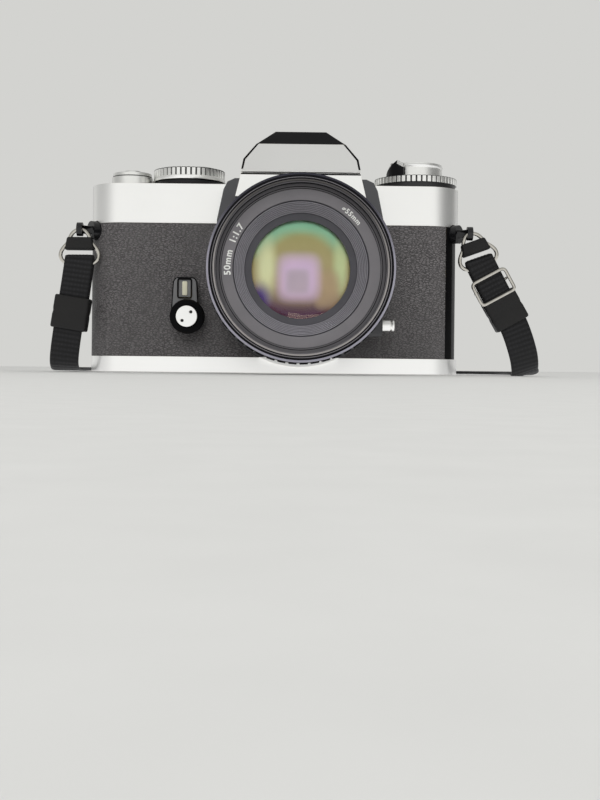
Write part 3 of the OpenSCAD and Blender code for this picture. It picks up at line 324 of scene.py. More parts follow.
def painted_lens_reflections():
    # The faces inside the lens: teal, yellow-green, amber, lilac and violet run into one another as painted
    # reflections, standing for what the coatings of the several glasses reflect, on a metal mirror that also
    # reflects the air
    finish, tree, shader, place = new_finish("inner_glass_painted_reflections", Metallic=1.0, Roughness=0.28)
    high = add(tree, "SeparateXYZ", Vector=place)
    level = add(tree, "MapRange", Value=high.outputs["Z"], From_Min=(LENS_Z - 16) * MM,
                From_Max=(LENS_Z + 16) * MM)
    # Painted reflections from the bottom up: maroon, amber, yellow-green and teal
    painted_reflection_ramp = add(tree, "ValToRGB", Fac=level)
    ramp = painted_reflection_ramp.color_ramp.elements
    ramp[0].color = hue("#1c0b14")
    ramp[1].color = hue("#5fa58f")
    for at, colour in ((0.08, "#3a2027"), (0.17, "#7c6658"), (0.34, "#a8936c"), (0.6, "#a89b6a"),
                       (0.84, "#a39a63"), (0.92, "#8fb389")):
        ramp.new(at).color = hue(colour)
    painted_reflections = painted_reflection_ramp
    centred = add(tree, "Mapping", Vector=place, Location=(0, 0, -LENS_Z * MM), Scale=(1, 0, 1))
    reach = add(tree, "VectorMath", centred, operation="LENGTH")
    # Painted reflections: teal follows the upper rim and maroon the lower one: full at which height, from
    # which, strength, colour
    for full, start, strength, colour in ((9.0, 1.5, 0.85, "#8cc6a2"), (-12.5, -6.0, 0.85, "#553349")):
        edge = eased(tree, reach, 9.5 * MM, 14.5 * MM)
        half = eased(tree, high.outputs["Z"], (LENS_Z + start) * MM, (LENS_Z + full) * MM, To_Max=strength)
        both = add(tree, "Math", edge, half, operation="MULTIPLY")
        painted_reflections = blend(tree, both, painted_reflections, colour)
    # Each patch of painted reflection: middle in x and z, half width, half height, squared off or round,
    # strength, colour
    for x, z, wide, tall, square, strength, colour in ((-10.6, 1.0, 4.2, 12.0, False, 0.95, "#dcdcaa"),
                                                       (12.2, 1.5, 3.2, 12.0, False, 0.95, "#c4cf98"),
                                                       (8.2, -6.0, 4.6, 7.0, True, 0.75, "#b39874"),
                                                       (-0.6, -2.2, 7.8, 8.4, True, 0.9, "#d8b9d8"),
                                                       (-1.0, -3.6, 4.4, 4.6, True, 0.75, "#b3a3a8"),
                                                       (-12.6, -8.6, 4.6, 6.0, False, 0.95, "#4d3a7c")):
        near = add(tree, "Mapping", Vector=place, Location=(-x / wide, 0, -(LENS_Z + z) / tall),
                   Scale=(per_mm(wide), 0, per_mm(tall)))
        if square:
            near = add(tree, "VectorMath", near, near, operation="MULTIPLY")
        away = add(tree, "VectorMath", near, operation="LENGTH")
        part = eased(tree, away, 1.1, 0.15, To_Max=strength)
        painted_reflections = blend(tree, part, painted_reflections, colour)
    # A painted dark rim round the edge: painted shade, so that the glass looks deep
    rim = eased(tree, reach, 14.6 * MM, 16.2 * MM)
    deep = blend(tree, rim, painted_reflections, "#2a3430")
    feed(shader, Base_Color=deep)
    return finish


def ink(name, colour):
    # Paint wiped into engraved figures: flat, with small breaks in its tone
    finish, tree, shader, place = new_finish(name, Roughness=0.55)
    break_up = noise(tree, place, 0.5, detail=3.0)
    base = hue(colour)
    dull = tuple(c * 0.8 for c in base[:3]) + (1.0,)
    tone = blend(tree, break_up, dull, base)
    feed(shader, Base_Color=tone)
    return finish


chrome = satin_chrome_plate()
bright_wire = steel("drawn_steel_wire", "#a9a59c", "#d6d3cb", low=0.14, high=0.32)
machined = steel("turned_steel", "#8d8c88", "#b9b8b4", low=0.28, high=0.4)
enamel = painted("black_enamel", "#101012", "#8c7a55", grain=1.4, rough=0.3, depth=0.03, coat=0.3)
satin_black = painted("satin_black_paint", "#0a0a0b", "#8c7a55", grain=1.0, rough=0.5, depth=0.02, shine=0.06)
cast_paint = painted("black_cast_paint", "#151517", "#6d6a64", grain=0.5, rough=0.46, depth=0.04)
housing_paint = painted("grey_black_paint", "#4f4f51", "#6d6a64", grain=0.6, rough=0.46, depth=0.04,
                        shine=0.35)
black_ring = anodised("black_anodised", "#0d0d11", "#1b1b22", metallic=0.55, rough=0.36)
grey_ring = anodised("grey_anodised", "#6e6c6f", "#7f7c7f", metallic=0.35, rough=0.42)
cone_ring = anodised("pale_grey_anodised", "#87858a", "#96949a", metallic=0.3, rough=0.44)
lip_ring = anodised("dark_grey_anodised", "#454448", "#525156", metallic=0.3, rough=0.44)
# The pale chamfer: painted reflection as well as rubbed wear
chamfer_painted_reflection = anodised("anodised_chamfer_painted_reflection", "#8f8d99", "#a9a7b3", metallic=0.15, rough=0.42, upper="#2c2b34")
bare_edge_painted_reflection = anodised("bare_aluminium_edge_painted_reflection", "#8f8b8a", "#a19d9b", metallic=0.15, rough=0.42, upper="#4a4746")
rim_black = anodised("deep_black_anodised", "#09090b", "#121216", metallic=0.0, rough=0.5, shine=0.1)
# The silver tip as a pale, mostly diffuse colour: painted reflection
tip_painted_reflection = anodised("nickel_tip_painted_reflection", "#e6e6e3", "#f4f4f1", metallic=0.2, rough=0.36)
shelf_ring = anodised("grey_black_anodised", "#59575a", "#676568", metallic=0.3, rough=0.42)
vinyl = leatherette()
plastic = moulded("moulded_plastic", "#0e0e10", "#1a1a1c", rough=0.42, grain=0.4, depth=0.03)
rubber = moulded("grip_rubber", "#0a0a0b", "#161617", rough=0.62, grain=0.3, depth=0.05)
hide = moulded("strap_leather", "#0f0f10", "#1e1d1c", rough=0.5, grain=0.6, depth=0.08)
webbing = nylon_webbing()
front_coat = clear_glass("coated_glass", "#eef2f4", film=110.0)
plain_glass = clear_glass("optical_glass", "#e8f0ee", film=0.0)
inner_painted_reflections = painted_lens_reflections()
silver = steel("silvered_mirror", "#d2d6d8", "#e6eaec", low=0.02, high=0.08)
white_ink = ink("white_fill", "#f4f4f0")
black_ink = ink("black_fill", "#131313")
orange_ink = ink("orange_fill", "#d2691e")
arm_paint = painted("grey_satin_paint", "#747475", "#8c8c8c", grain=1.0, rough=0.45, depth=0.02)
inlay = moulded("ivory_inlay", "#d3cfb4", "#e9e6d2", rough=0.4, grain=1.2, depth=0.03)


# Ways of making pieces, all in millimetres

def piece(name, shape, finishes, body, crease=38):
    """A mesh piece riding on a body, from (points in millimetres, faces) and one finish.

    A shape of several finishes also has the number of each face's finish in the list of finishes.
    """
    points, faces, *which = shape
    mesh = bpy.data.meshes.new(name)
    mesh.from_pydata([Vector(p) * MM for p in points], [], faces)
    work = bmesh.new()
    work.from_mesh(mesh)
    if which:
        for face, index in zip(work.faces, which[0]):
            face.material_index = index
    bmesh.ops.recalc_face_normals(work, faces=work.faces)
    work.to_mesh(mesh)
    work.free()
    for finish in finishes if which else [finishes]:
        mesh.materials.append(finish)
    mesh.shade_smooth()
    mesh.set_sharp_from_angle(angle=math.radians(crease))
    made = bpy.data.objects.new(name, mesh)
    scene.collection.objects.link(made)
    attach(made, body)
    return made


def around(steps):
    """The cosine and sine of even steps round a circle."""
    return [(math.cos(2 * math.pi * i / steps), math.sin(2 * math.pi * i / steps)) for i in range(steps)]


def ring_faces(rows, count, closed=False):
    """Quads between rings of points, one ring after another; closed joins the last ring to the first."""
    quads = []
    for i in range(rows if closed else rows - 1):
        for j in range(count):
            a, b = i * count + j, i * count + (j + 1) % count
            below = ((i + 1) % rows) * count
            quads.append((a, b, below + (j + 1) % count, below + j))
    return quads


def bar_faces(rows, count):
    """Quads between rings of points, with a face across the first ring and one across the last."""
    return ring_faces(rows, count) + [tuple(range(count)), tuple(range((rows - 1) * count, rows * count))]


def turned_ring(profile, steps):
    """Points and quads of a closed profile of (radius, distance in front of the film side) round the lens."""
    points = [(r * c, -t, LENS_Z + r * s) for c, s in around(steps) for r, t in profile]
    return points, ring_faces(steps, len(profile), True)


def banded_ring(profile, steps, bands):
    """A turned ring with the number of each face's finish, which is 0 unless bands names its span."""
    points, faces = turned_ring(profile, steps)
    return points, faces, [bands.get(i % len(profile), 0) for i in range(len(faces))]


def turned_solid(profile, steps=128):
    """Points and faces of a profile that starts and ends on the lens axis, with turned_ring's measures."""
    inside = profile[1:-1]
    points = [(0, -profile[0][1], LENS_Z), (0, -profile[-1][1], LENS_Z)]
    points += [(r * c, -t, LENS_Z + r * s) for r, t in inside for c, s in around(steps)]
    faces = [tuple(2 + k for k in quad) for quad in ring_faces(len(inside), steps)]
    last = 2 + (len(inside) - 1) * steps
    for i in range(steps):
        after = (i + 1) % steps
        faces += [(0, 2 + i, 2 + after), (1, last + after, last + i)]
    return points, faces


def wire(path, radius, closed=True):
    """Points and faces of a round wire along a path."""
    points, count, sides = [], len(path), 14
    track = [Vector(p) for p in path]
    up = None
    for i, p in enumerate(track):
        after = track[(i + 1) % count] if closed else track[min(i + 1, count - 1)]
        before = track[i - 1] if closed or i else track[0]
        way = (after - before).normalized()
        if up is None:
            up = way.orthogonal().normalized()
        up = (up - way * up.dot(way)).normalized()
        side = way.cross(up)
        points += [p + (up * c + side * s) * radius for c, s in around(sides)]
    return points, ring_faces(count, sides, True) if closed else bar_faces(count, sides)


def rounded(corners, radius):
    """A flat outline with each corner rounded off."""
    out, count, steps = [], len(corners), 6
    for i in range(count):
        here, before, after = (Vector(corners[k % count]) for k in (i, i - 1, i + 1))
        back, on = (before - here), (after - here)
        reach = min(radius, back.length * 0.45, on.length * 0.45)
        a, b = here + back.normalized() * reach, here + on.normalized() * reach
        for k in range(steps + 1):
            s = k / steps
            out.append(a * (1 - s) ** 2 + here * 2 * s * (1 - s) + b * s ** 2)
    return [tuple(p) for p in out]


def rounded_box(left, low, right, high, radius):
    """A flat box with its corners rounded off."""
    return rounded([(left, low), (right, low), (right, high), (left, high)], radius)


def round_outline(radius, x, z, steps=72):
    """A circle as a flat outline."""
    return [(x + radius * c, z + radius * s) for c, s in around(steps)]


def shrunk(outline, by):
    """An outline drawn in by a small amount along its own normals."""
    out, count = [], len(outline)
    area = sum(outline[i - 1][0] * outline[i][1] - outline[i][0] * outline[i - 1][1] for i in range(count))
    turn = 1 if area > 0 else -1
    for i in range(count):
        a, b = Vector(outline[i - 1]), Vector(outline[(i + 1) % count])
        way = (b - a).normalized()
        out.append((outline[i][0] - way.y * by * turn, outline[i][1] + way.x * by * turn))
    return out


def slab(outline, low, high, soft, place):
    """A plate from an outline, with its rims rounded by soft; place sets (x, y, height) into the part."""
    levels = [(soft, low), (soft * 0.3, low + soft * 0.3), (0, low + soft), (0, high - soft),
              (soft * 0.3, high - soft * 0.3), (soft, high)]
    points = [place(x, z, level) for inset, level in levels for x, z in shrunk(outline, inset)]
    return points, bar_faces(len(levels), len(outline))


def joined(*parts):
    """Several (points, faces) as one."""
    points, faces = [], []
    for more_points, more_faces in parts:
        start = len(points)
        points += list(more_points)
        faces += [tuple(start + i for i in face) for face in more_faces]
    return points, faces


INK = 0.03    # half the thickness of a printed figure


def figures(text, height, bold=0.0, spread=1.0):
    """Figures as thin solid letters: points in millimetres, centred, and faces."""
    curve = bpy.data.curves.new("figures", "FONT")
    curve.body = text
    curve.align_x = "CENTER"
    curve.align_y = "CENTER"
    # A figure is about 0.7 of its type size high
    curve.size = height * 1.4
    curve.extrude = INK
    curve.offset = bold
    curve.space_character = spread
    curve.resolution_u = 3
    drawn = bpy.data.objects.new("figures", curve)
    scene.collection.objects.link(drawn)
    mesh = bpy.data.meshes.new_from_object(drawn.evaluated_get(bpy.context.evaluated_depsgraph_get()))
    points = [tuple(v.co) for v in mesh.vertices]
    faces = [tuple(p.vertices) for p in mesh.polygons]
    bpy.data.objects.remove(drawn)
    bpy.data.curves.remove(curve)
    bpy.data.meshes.remove(mesh)
    return points, faces


def stroke(width, length):
    """A short index line as a thin solid."""
    x, y, z = width / 2, length / 2, INK
    points = [(a * x, b * y, c * z) for c in (-1, 1) for a, b in ((-1, -1), (1, -1), (1, 1), (-1, 1))]
    return points, [(3, 2, 1, 0), (4, 5, 6, 7), (0, 1, 5, 4), (1, 2, 6, 5), (2, 3, 7, 6), (3, 0, 4, 7)]


def placed(shape, put):
    """A flat shape carried on to a surface by put(x, y, height), with a quarter of its thickness sunk in."""
    points, faces = shape
    return [put(x, y, z + INK / 2) for x, y, z in points], faces


def on_front(theta, radius, level):
    """Round a ring that faces forward, read with the tops outward."""
    mid = math.radians(theta)

    def put(x, y, z):
        a = mid - x / radius
        return ((radius + y) * math.cos(a), -(level + z), LENS_Z + (radius + y) * math.sin(a))
    return put


def on_barrel(theta, level, radius):
    """Round the outside of the lens, read from behind the camera with the tops forward."""
    mid = math.radians(theta)

    def put(x, y, z):
        a = mid + x / radius
        return ((radius + z) * math.cos(a), -(level + y), LENS_Z + (radius + z) * math.sin(a))
    return put


def on_dial(centre, theta, radius, top):
    """Round the top of a dial, read with the tops outward."""
    mid = math.radians(theta)

    def put(x, y, z):
        a = mid - x / radius
        return (centre[0] + (radius + y) * math.cos(a), centre[1] + (radius + y) * math.sin(a), top + z)
    return put


def front_place(x, z, level):
    """Outline coordinates on the front of the body; level counts forward from the film side."""
    return (x, -level, z)


def top_place(x, y, level):
    """Outline coordinates seen from above; level is the height."""
    return (x, y, level)


# Strap: the route's points as the solid has them

STRAP_W, STRAP_T = 10.4, 1.3
LAY = STRAP_T / 2 + 0.05
LEAN = math.radians(20)
strand_left = [(-83.8, -13, 15), (-81.8, -13, 27), (-80.4, -13, 37), (-80, -13.2, 40.4), (-80, -14.5, 41.9),
               (-80, -15.8, 40.4), (-80.4, -16, 37), (-81.8, -16.1, 27), (-83.8, -16, 15), (-85.4, -13.6, 5),
               (-86, -8, 1)]
strand_right = [(78, -13, 18.5), (72, -13, 29), (67.3, -13, 38), (65.8, -13.2, 41), (65.3, -14.5, 42.5),
                (65.8, -15.8, 41), (67.3, -16, 38), (72, -16.1, 29), (78, -16, 18.5), (82, -14.2, 8),
                (84, -8, 1.2)]
loop_left = [(-86, 2), (-82, 26), (-63, 48), (-9, 66), (42, 84), (60, 118), (40, 154)]
loop_right = [(85, 4), (79, 28), (50, 49), (-9, 66), (-60, 84), (-78, 118), (-58, 154)]
route = [Vector(p + (1,)) for p in strand_left] + [Vector((x, y, LAY, 0)) for x, y in loop_left]
route += [Vector((-9, 168, LAY, 0))]
route += [Vector((x, y, LAY + (STRAP_T + 0.5 if i == 3 else 0), 0))
          for i, (x, y) in reversed(list(enumerate(loop_right)))]
route += [Vector(p + (-1,)) for p in reversed(strand_right)]


def along_route(step):
    """The strap's middle line at even steps, each with the side it hangs on, and the strap's length."""
    fine, parts = [], 40
    for i in range(len(route) - 1):
        a, b, c, d = (route[max(0, min(len(route) - 1, k))] for k in (i - 1, i, i + 1, i + 2))
        for k in range(parts):
            t = k / parts
            fine.append(0.5 * (2 * b + (c - a) * t + (2 * a - 5 * b + 4 * c - d) * t * t
                               + (3 * b - a - 3 * c + d) * t * t * t))
    fine.append(route[-1])
    for p in fine:
        p.z = max(p.z, LAY)
    reach = [0.0]
    for a, b in zip(fine, fine[1:]):
        reach.append(reach[-1] + (b.xyz - a.xyz).length)
    count = int(reach[-1] / step)
    even, k = [], 0
    for i in range(count + 1):
        want = reach[-1] * i / count
        while k < len(fine) - 2 and reach[k + 1] < want:
            k += 1
        even.append(fine[k].lerp(fine[k + 1], (want - reach[k]) / max(1e-9, reach[k + 1] - reach[k])))
    return even, reach[-1]


WEFT = 1.7    # spacing of the woven rows along the strap
WARP = 1.3    # spacing of the warp cords across it
middle, strap_length = along_route(WEFT / 4)


def strap_body():
    """The webbing: a flat band with a woven relief of rows and cords on both faces."""
    points, row_highlight, across_n = [], [], 25
    for i, p in enumerate(middle):
        way = (middle[min(i + 1, len(middle) - 1)].xyz - middle[max(i - 1, 0)].xyz).normalized()
        side = min(1.0, abs(p.w) * 1.2)
        flat = Vector((way.y, -way.x, 0))
        flat = flat.normalized() if flat.length > 1e-6 else Vector((1, 0, 0))
        hung = Vector((1, 0, 0)) if p.w > 0 else Vector((-math.cos(LEAN), 0, -math.sin(LEAN)))
        wide = flat.lerp(hung, side)
        wide = (wide - way * wide.dot(way)).normalized()
        up = wide.cross(way)
        row = 0.5 + 0.5 * math.cos(2 * math.pi * i / 4)
        for face in (1, -1):
            for j in range(across_n):
                s = (j / (across_n - 1) - 0.5) * face
                cord = 0.5 + 0.5 * math.cos(2 * math.pi * s * STRAP_W / WARP)
                rim = max(0.0, 1 - abs(2 * s) ** 8) ** 0.5
                lift = (0.75 * row + 0.25) * (0.55 + 0.45 * cord)
                high = (0.38 + 0.27 * lift) * (0.25 + 0.75 * rim)
                points.append(p.xyz + wide * s * STRAP_W + up * face * high)
                # How high each point of the weave stands, for the painted highlight on the row tops
                row_highlight.append(row * (0.5 + 0.5 * cord) * rim)
    return points, bar_faces(len(middle), 2 * across_n), row_highlight


*strap_shape, row_highlight_heights = strap_body()
strap = piece("neck_strap", strap_shape, webbing, "body", crease=80)
strap.data.attributes.new("row_highlight", "FLOAT", "POINT").data.foreach_set("value", row_highlight_heights)
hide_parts("strap_webbing")


def keeper(place, tilt, name):
    """A flat leather sleeve round both layers of the webbing, with rolled rims."""
    turn = Matrix.Rotation(math.radians(tilt), 3, "Y")
    outer = rounded_box(-6.5, -3.2, 6.5, 3.2, 1.5)
    inner = rounded_box(-5.5, -2.45, 5.5, 2.45, 0.9)
    half = ((0, 1.2), (0, 5.3), (0.15, 5.8), (0.55, 6))
    levels = [(inset, -level) for inset, level in reversed(half)] + [(0.18, 0), *half]
    rows = [[(x, y, level) for x, y in shrunk(outer, inset)] for inset, level in levels]
    rows += [[(x, y, level) for x, y in inner] for level in (6, -6)]
    points = [turn @ Vector(p) + Vector(place) for ring in rows for p in ring]
    sleeve = (points, ring_faces(len(rows), len(outer), True))
    return piece(name, sleeve, hide, "body", crease=50)


keeper_left = keeper((-82.8, -14.6, 21), 8.6, "strap_keeper_left")
keeper_right = keeper((75, -14.6, 23.8), -29.7, "strap_keeper_right")
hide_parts("strap_keepers")

EYES = (Vector((-80, -14.5, 51.5)), Vector((62, -14.5, 51.5)))
RING_TURNS = (Matrix.Identity(3), Matrix.Rotation(-LEAN, 3, "Y"))


def ring_wires():
    """The two rounded-triangle wire rings in their lugs."""
    made = []
    for eye, turn in zip(EYES, RING_TURNS):
        path, steps = [], 72
        for i in range(steps):
            a = 2 * math.pi * i / steps
            q = 1 + 0.2 * math.cos(3 * a)
            path.append(turn @ Vector((6.3 * q * math.sin(a), 0, 6 * q * math.cos(a) - 7.3)) + eye)
        made.append(wire(path, 0.7))
    return joined(*made)


rings = piece("strap_ring_wires", ring_wires(), bright_wire, "body", crease=80)
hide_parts("strap_rings")


def ring_pad(eye, turn, name):
    """The leather tab folded over the upper half of a ring, so that the wire doesn't rub the body."""
    outline = rounded([(-5.3, -7.6), (5.3, -7.6), (4.5, -2.9), (-4.5, -2.9)], 0.8)
    tab = slab(outline, -1.75, 1.75, 0.6, lambda x, z, level: turn @ Vector((x, level, z)) + eye)
    piece(name, tab, hide, "body", crease=50)


for eye, turn, side in zip(EYES, RING_TURNS, ("left", "right")):
    ring_pad(eye, turn, "ring_pad_" + side)


def buckle():
    """The wire slide on the right strand: a flat frame in front of the webbing with its bar behind it."""
    turn = Matrix.Rotation(math.radians(-28.8), 3, "Y")
    middle_point = Vector((70.4, -17.35, 32.0))
    frame_path = rounded_box(-6.7, -4.4, 6.7, 4.4, 1.6)
    loop = [turn @ Vector((x, 0, z)) + middle_point for x, z in frame_path]
    bar = [turn @ Vector((x, y, 0.6)) + middle_point
           for x, y in ((-6.7, 0), (-6.7, 2.4), (-6.3, 2.8), (0, 2.85), (6.3, 2.8), (6.7, 2.4), (6.7, 0))]
    return joined(wire(loop, 0.6), wire(bar, 0.5, closed=False))


slide = piece("strap_buckle", buckle(), bright_wire, "body", crease=80)
[p.xyz * MM for p in middle[::4]]


# Front of the lens: radii, and distances in front of the film side

FACE_T = -edge_of("optical_barrel", LOW, Y)
RIM_R = edge_of("optical_barrel", HIGH, X) + 0.08
FIGURE_T = -edge_of("name_ring", LOW, Y)
RING_R = edge_of("name_ring", HIGH, X)
RING_BACK = -edge_of("name_ring", HIGH, Y) + 0.2
CONE_R = 21.5     # widest part of the ribbed cone
LIP_R = 15.9      # opening of the lip round the glass
GLASS_R = 17.6    # the front glass


def ring_round_glass():
    """The grey figure ring, the finely ribbed cone inside it and the plain lip round the glass."""
    face, cone_t, cone_wide, cone_deep, lip_t = FIGURE_T, 68.5, 3.4, 2.7, 65.0
    profile = [(RING_R, RING_BACK), (RING_R, face + 0.04), (RING_R + 0.36, face + 0.04),
               (RING_R + 0.36, face + 0.12), (RING_R + 0.2, face + 0.16), (RING_R - 0.1, face),
               (CONE_R + 0.5, face), (CONE_R + 0.3, face - 0.15), (CONE_R + 0.2, face - 0.65)]
    # The ribs are about 0.25 mm apart and are drawn 0.6 mm apart so that they show
    cone, ribs = len(profile), 7
    for i in range(ribs):
        for part, lift in ((0.12, 0.0), (0.35, 0.16), (0.65, 0.16), (0.9, 0.0)):
            s = (i + part) / ribs
            profile.append((CONE_R - cone_wide * s, cone_t - cone_deep * s + lift))
    lip = len(profile)
    profile += [(18.05, lip_t + 0.55), (17.85, lip_t + 0.4), (LIP_R + 0.4, lip_t + 0.15), (LIP_R, lip_t),
                (LIP_R, lip_t - 0.9), (17.9, lip_t - 1), (18.0, RING_BACK)]
    # The lip's finish is also in the grooves of the cone
    bands = {i: 2 for i in range(cone - 2, len(profile))}
    bands.update((i, 1) for i in range(cone, lip - 1) if (i - cone) % 4 != 3)
    return banded_ring(profile, 216, bands)


figure_ring = piece("figure_ring", ring_round_glass(), [grey_ring, cone_ring, lip_ring], "focus_block",
                    crease=50)
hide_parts("name_ring")


def front_lens():
    """The front glass: a domed face, a blackened rim and a flat back."""
    crown, back, dome_r, steps = -edge_of("front_element", LOW, Y), 61.9, 38.0, 24
    profile = []
    for i in range(steps + 1):
        r = GLASS_R * i / steps
        profile.append((r, crown - dome_r + math.sqrt(dome_r * dome_r - r * r)))
    profile += [(GLASS_R, back), (0, back)]
    points, faces = turned_solid(profile)
    blackened = [all(abs(math.hypot(points[k][0], points[k][2] - LENS_Z) - GLASS_R) < 0.01 for k in face)
                 for face in faces]
    return points, faces, [int(black) for black in blackened]


glass = piece("front_glass", front_lens(), [front_coat, black_ink], "focus_block", crease=40)
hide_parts("front_element")


def inner_lens():
    """The coated glass behind the front one, a shallow dome that carries the painted reflections."""
    radius, crown, back, dome_r, steps = 17.4, 61.3, 58.6, 70.0, 20
    reach = [radius * i / steps for i in range(steps + 1)]
    profile = [(r, crown - r ** 2 / (2 * dome_r)) for r in reach]
    return turned_solid(profile + [(radius, back), (0, back)])


piece("inner_glass", inner_lens(), inner_painted_reflections, "focus_block", crease=40)


def thread_turns():
    """The turns of the filter thread inside the front rim, paler on the first flank."""
    root, crest, pitch = 27.44, 27.0, 0.65
    profile = [(root + 0.04, FACE_T - 0.4)]
    for i in range(5):
        t = FACE_T - 0.6 - pitch * i
        profile += [(root, t), (crest, t - 0.2), (crest, t - 0.32), (root, t - 0.5)]
    profile += [(root + 0.04, FIGURE_T + 0.1)]
    return banded_ring(profile, 180, {1: 1})


piece("filter_thread_turns", thread_turns(), [rim_black, shelf_ring], "focus_block",
      crease=25)


def front_rim():
    """The turned front edge: a chamfer rubbed bright with painted reflection, pale below and dark at the top,
    a dark face with a fine ridge and a bare inner edge with the same painted reflection.
    """
    low, high, back = FACE_T + 0.04, FACE_T + 0.14, FACE_T - 5
    profile = [(RIM_R, back), (RIM_R, FACE_T - 0.15), (29.92, FACE_T + 0.02), (29.3, high), (29.22, low),
               (28.62, low), (28.56, high), (28.4, high), (28.34, low), (27.95, low), (27.9, high),
               (27.4, FACE_T + 0.06), (27.36, FACE_T - 0.1), (27.36, FACE_T - 0.55), (28.0, FACE_T - 0.6),
               (29.5, back)]
    # The chamfer, the ridge and the inner edge
    return banded_ring(profile, 216, {1: 1, 2: 1, 5: 2, 6: 2, 7: 2, 9: 3, 10: 3})


piece("front_rim", front_rim(), [rim_black, chamfer_painted_reflection, grey_ring, bare_edge_painted_reflection], "focus_block",
      crease=25)


def shelf_rings():
    """The stepped shelf between the thread and the figure ring."""
    shelf, groove_t, ring_t = FIGURE_T + 0.5, FIGURE_T + 0.3, FIGURE_T + 0.42
    profile = [(27.38, FIGURE_T + 0.05), (27.38, shelf), (26.15, shelf), (26.1, groove_t), (25.95, groove_t),
               (25.9, ring_t), (25.5, ring_t), (25.42, FIGURE_T + 0.2), (25.4, FIGURE_T + 0.05)]
    return banded_ring(profile, 180, {1: 1, 5: 1})


piece("shelf_rings", shelf_rings(), [rim_black, shelf_ring], "focus_block", crease=25)

WORDS_R = 23.4    # the middle of the figure ring's words
lens_words = joined(placed(figures("50mm  1:1.7", 2.1, 0.09, 1.15), on_front(165, WORDS_R, FIGURE_T)),
                    placed(figures("ø55mm", 1.6, 0.07, 1.15), on_front(47, WORDS_R, FIGURE_T)))
piece("lens_figures", lens_words, white_ink, "focus_block")

# Scales on the lens: where each stands along the axis, and the radius of its ring

STOP_T, STOP_R = 41.75, 29.5
stops = ["1.7", "2.8", "4", "5.6", "8", "11", "16", "22"]
stop_marks = [placed(figures(text, 1.7), on_barrel(90 - 9.0 * i, STOP_T, STOP_R))
              for i, text in enumerate(stops)]
piece("stop_figures", joined(*stop_marks), white_ink, "aperture")

METRE_T, FEET_T, FOCUS_R = 48.5, 50.7, edge_of("focus_ring", HIGH, X)
metres = [("∞", 0), ("10", 18), ("5", 34), ("3", 54), ("2", 76), ("1.5", 97), ("1.2", 116), ("1", 134),
          ("0.9", 147), ("0.8", 161), ("0.7", 176), ("0.6", 191)]
feet = [("30", 20), ("15", 38), ("10", 57), ("7", 76), ("5", 96), ("4", 113), ("3.5", 128), ("3", 147),
        ("2.5", 165), ("2", 186)]
for name, scale, along, fill in (("metre_figures", metres, METRE_T, white_ink),
                                 ("feet_figures", feet, FEET_T, orange_ink)):
    marks = [placed(figures(text, 1.45), on_barrel(90 - angle, along, FOCUS_R)) for text, angle in scale]
    piece(name, joined(*marks), fill, "focus")

DEPTH_R = edge_of("lens_barrel", HIGH, X)
depth_marks = [placed(stroke(0.35, 2.6), on_barrel(90, 45.3, DEPTH_R))]
for text, angle in (("4", 7), ("8", 13), ("16", 24)):
    for way in (-1, 1):
        depth_marks.append(placed(stroke(0.22, 0.9), on_barrel(90 + way * angle, 46.4, DEPTH_R)))
        depth_marks.append(placed(figures(text, 1.35), on_barrel(90 + way * angle, 44.9, DEPTH_R)))
piece("depth_figures", joined(*depth_marks), white_ink, "lens")


# Top plate: the axes of its controls, and the figures on its dials

DIAL = axes["speed_dial_turn"][:Z]
REWIND = axes["film_dial_turn"][:Z]
WIND = axes["advance_stroke"][:Z]


def dial_figures(name, body, dial, centre, radius, height, step, row):
    """A row of figures round the top of a dial, at even steps of so many degrees from its back."""
    top = edge_of(dial, HIGH, Z)
    marks = [placed(figures(text, height, 0.04), on_dial(centre, 90 - step * i, radius, top))
             for i, text in enumerate(row)]
    piece(name, joined(*marks), black_ink, body)


dial_figures("speed_figures", "speed_dial", "shutter_dial", DIAL, radius=9.6, height=1.9, step=27.0,
             row=["1000", "500", "250", "125", "60", "30", "15", "8", "4", "2", "1", "B"])
dial_figures("film_speed_figures", "film_dial", "exposure_dial", REWIND, radius=12.6, height=1.75, step=36.0,
             row=["12", "25", "50", "100", "200", "400", "800", "1600", "3200"])


def lever_tip():
    """The moulded tip over the end of the wind lever, drawn along the lever and turned to its rest."""
    rest = Matrix.Rotation(math.radians(48), 2)
    outline = rounded([(16.6, -3.75), (22, -3.25), (25.2, -1.8), (25.2, 3.6), (23, 4.85), (16.6, 4.75)], 0.9)

    def put(x, y, level):
        return (*(rest @ Vector((x, y)) + Vector(WIND)), level)
    return slab(outline, 69.0, 72.0, 0.5, put)


piece("wind_lever_tip", lever_tip(), plastic, "advance", crease=40)


def finger_tab():
    """The finger tab of the crank, a bent plate that rises round the knob, its silver tip, whose brightness
    is a painted reflection, and its root.
    """
    inner_r, outer_r, foot, steps = 10.25, 11.0, 73.35, 32
    start, peak, end = 174, 226, 240
    start_top, peak_top, end_top = 74.4, 79.3, 77.9
    tip_from, proud, tip_deep = 224, 0.12, 1.4
    plate, tip = [], []

    def section(angle, near, far, low, high):
        c, s = math.cos(math.radians(angle)), math.sin(math.radians(angle))
        corners = ((near, low), (far, low), (far, high), (near, high))
        return [(REWIND[0] + r * c, REWIND[1] + r * s, z) for r, z in corners]

    for i in range(steps + 1):
        angle = start + (end - start) * i / steps
        if angle < peak:
            top = start_top + (peak_top - start_top) * (angle - start) / (peak - start)
        else:
            top = peak_top + (end_top - peak_top) * (angle - peak) / (end - peak)
        plate += section(angle, inner_r, outer_r, foot, top)
        if angle > tip_from:
            tip += section(angle, inner_r - proud, outer_r + proud, top - tip_deep, top + proud)
    bent, cap = ((points, bar_faces(len(points) // 4, 4)) for points in (plate, tip))
    root = slab(rounded_box(32.9, -2.3, 38.6, 2.3, 1.2), 73.5, 76.8, 0.4, top_place)
    return joined(bent, root), cap


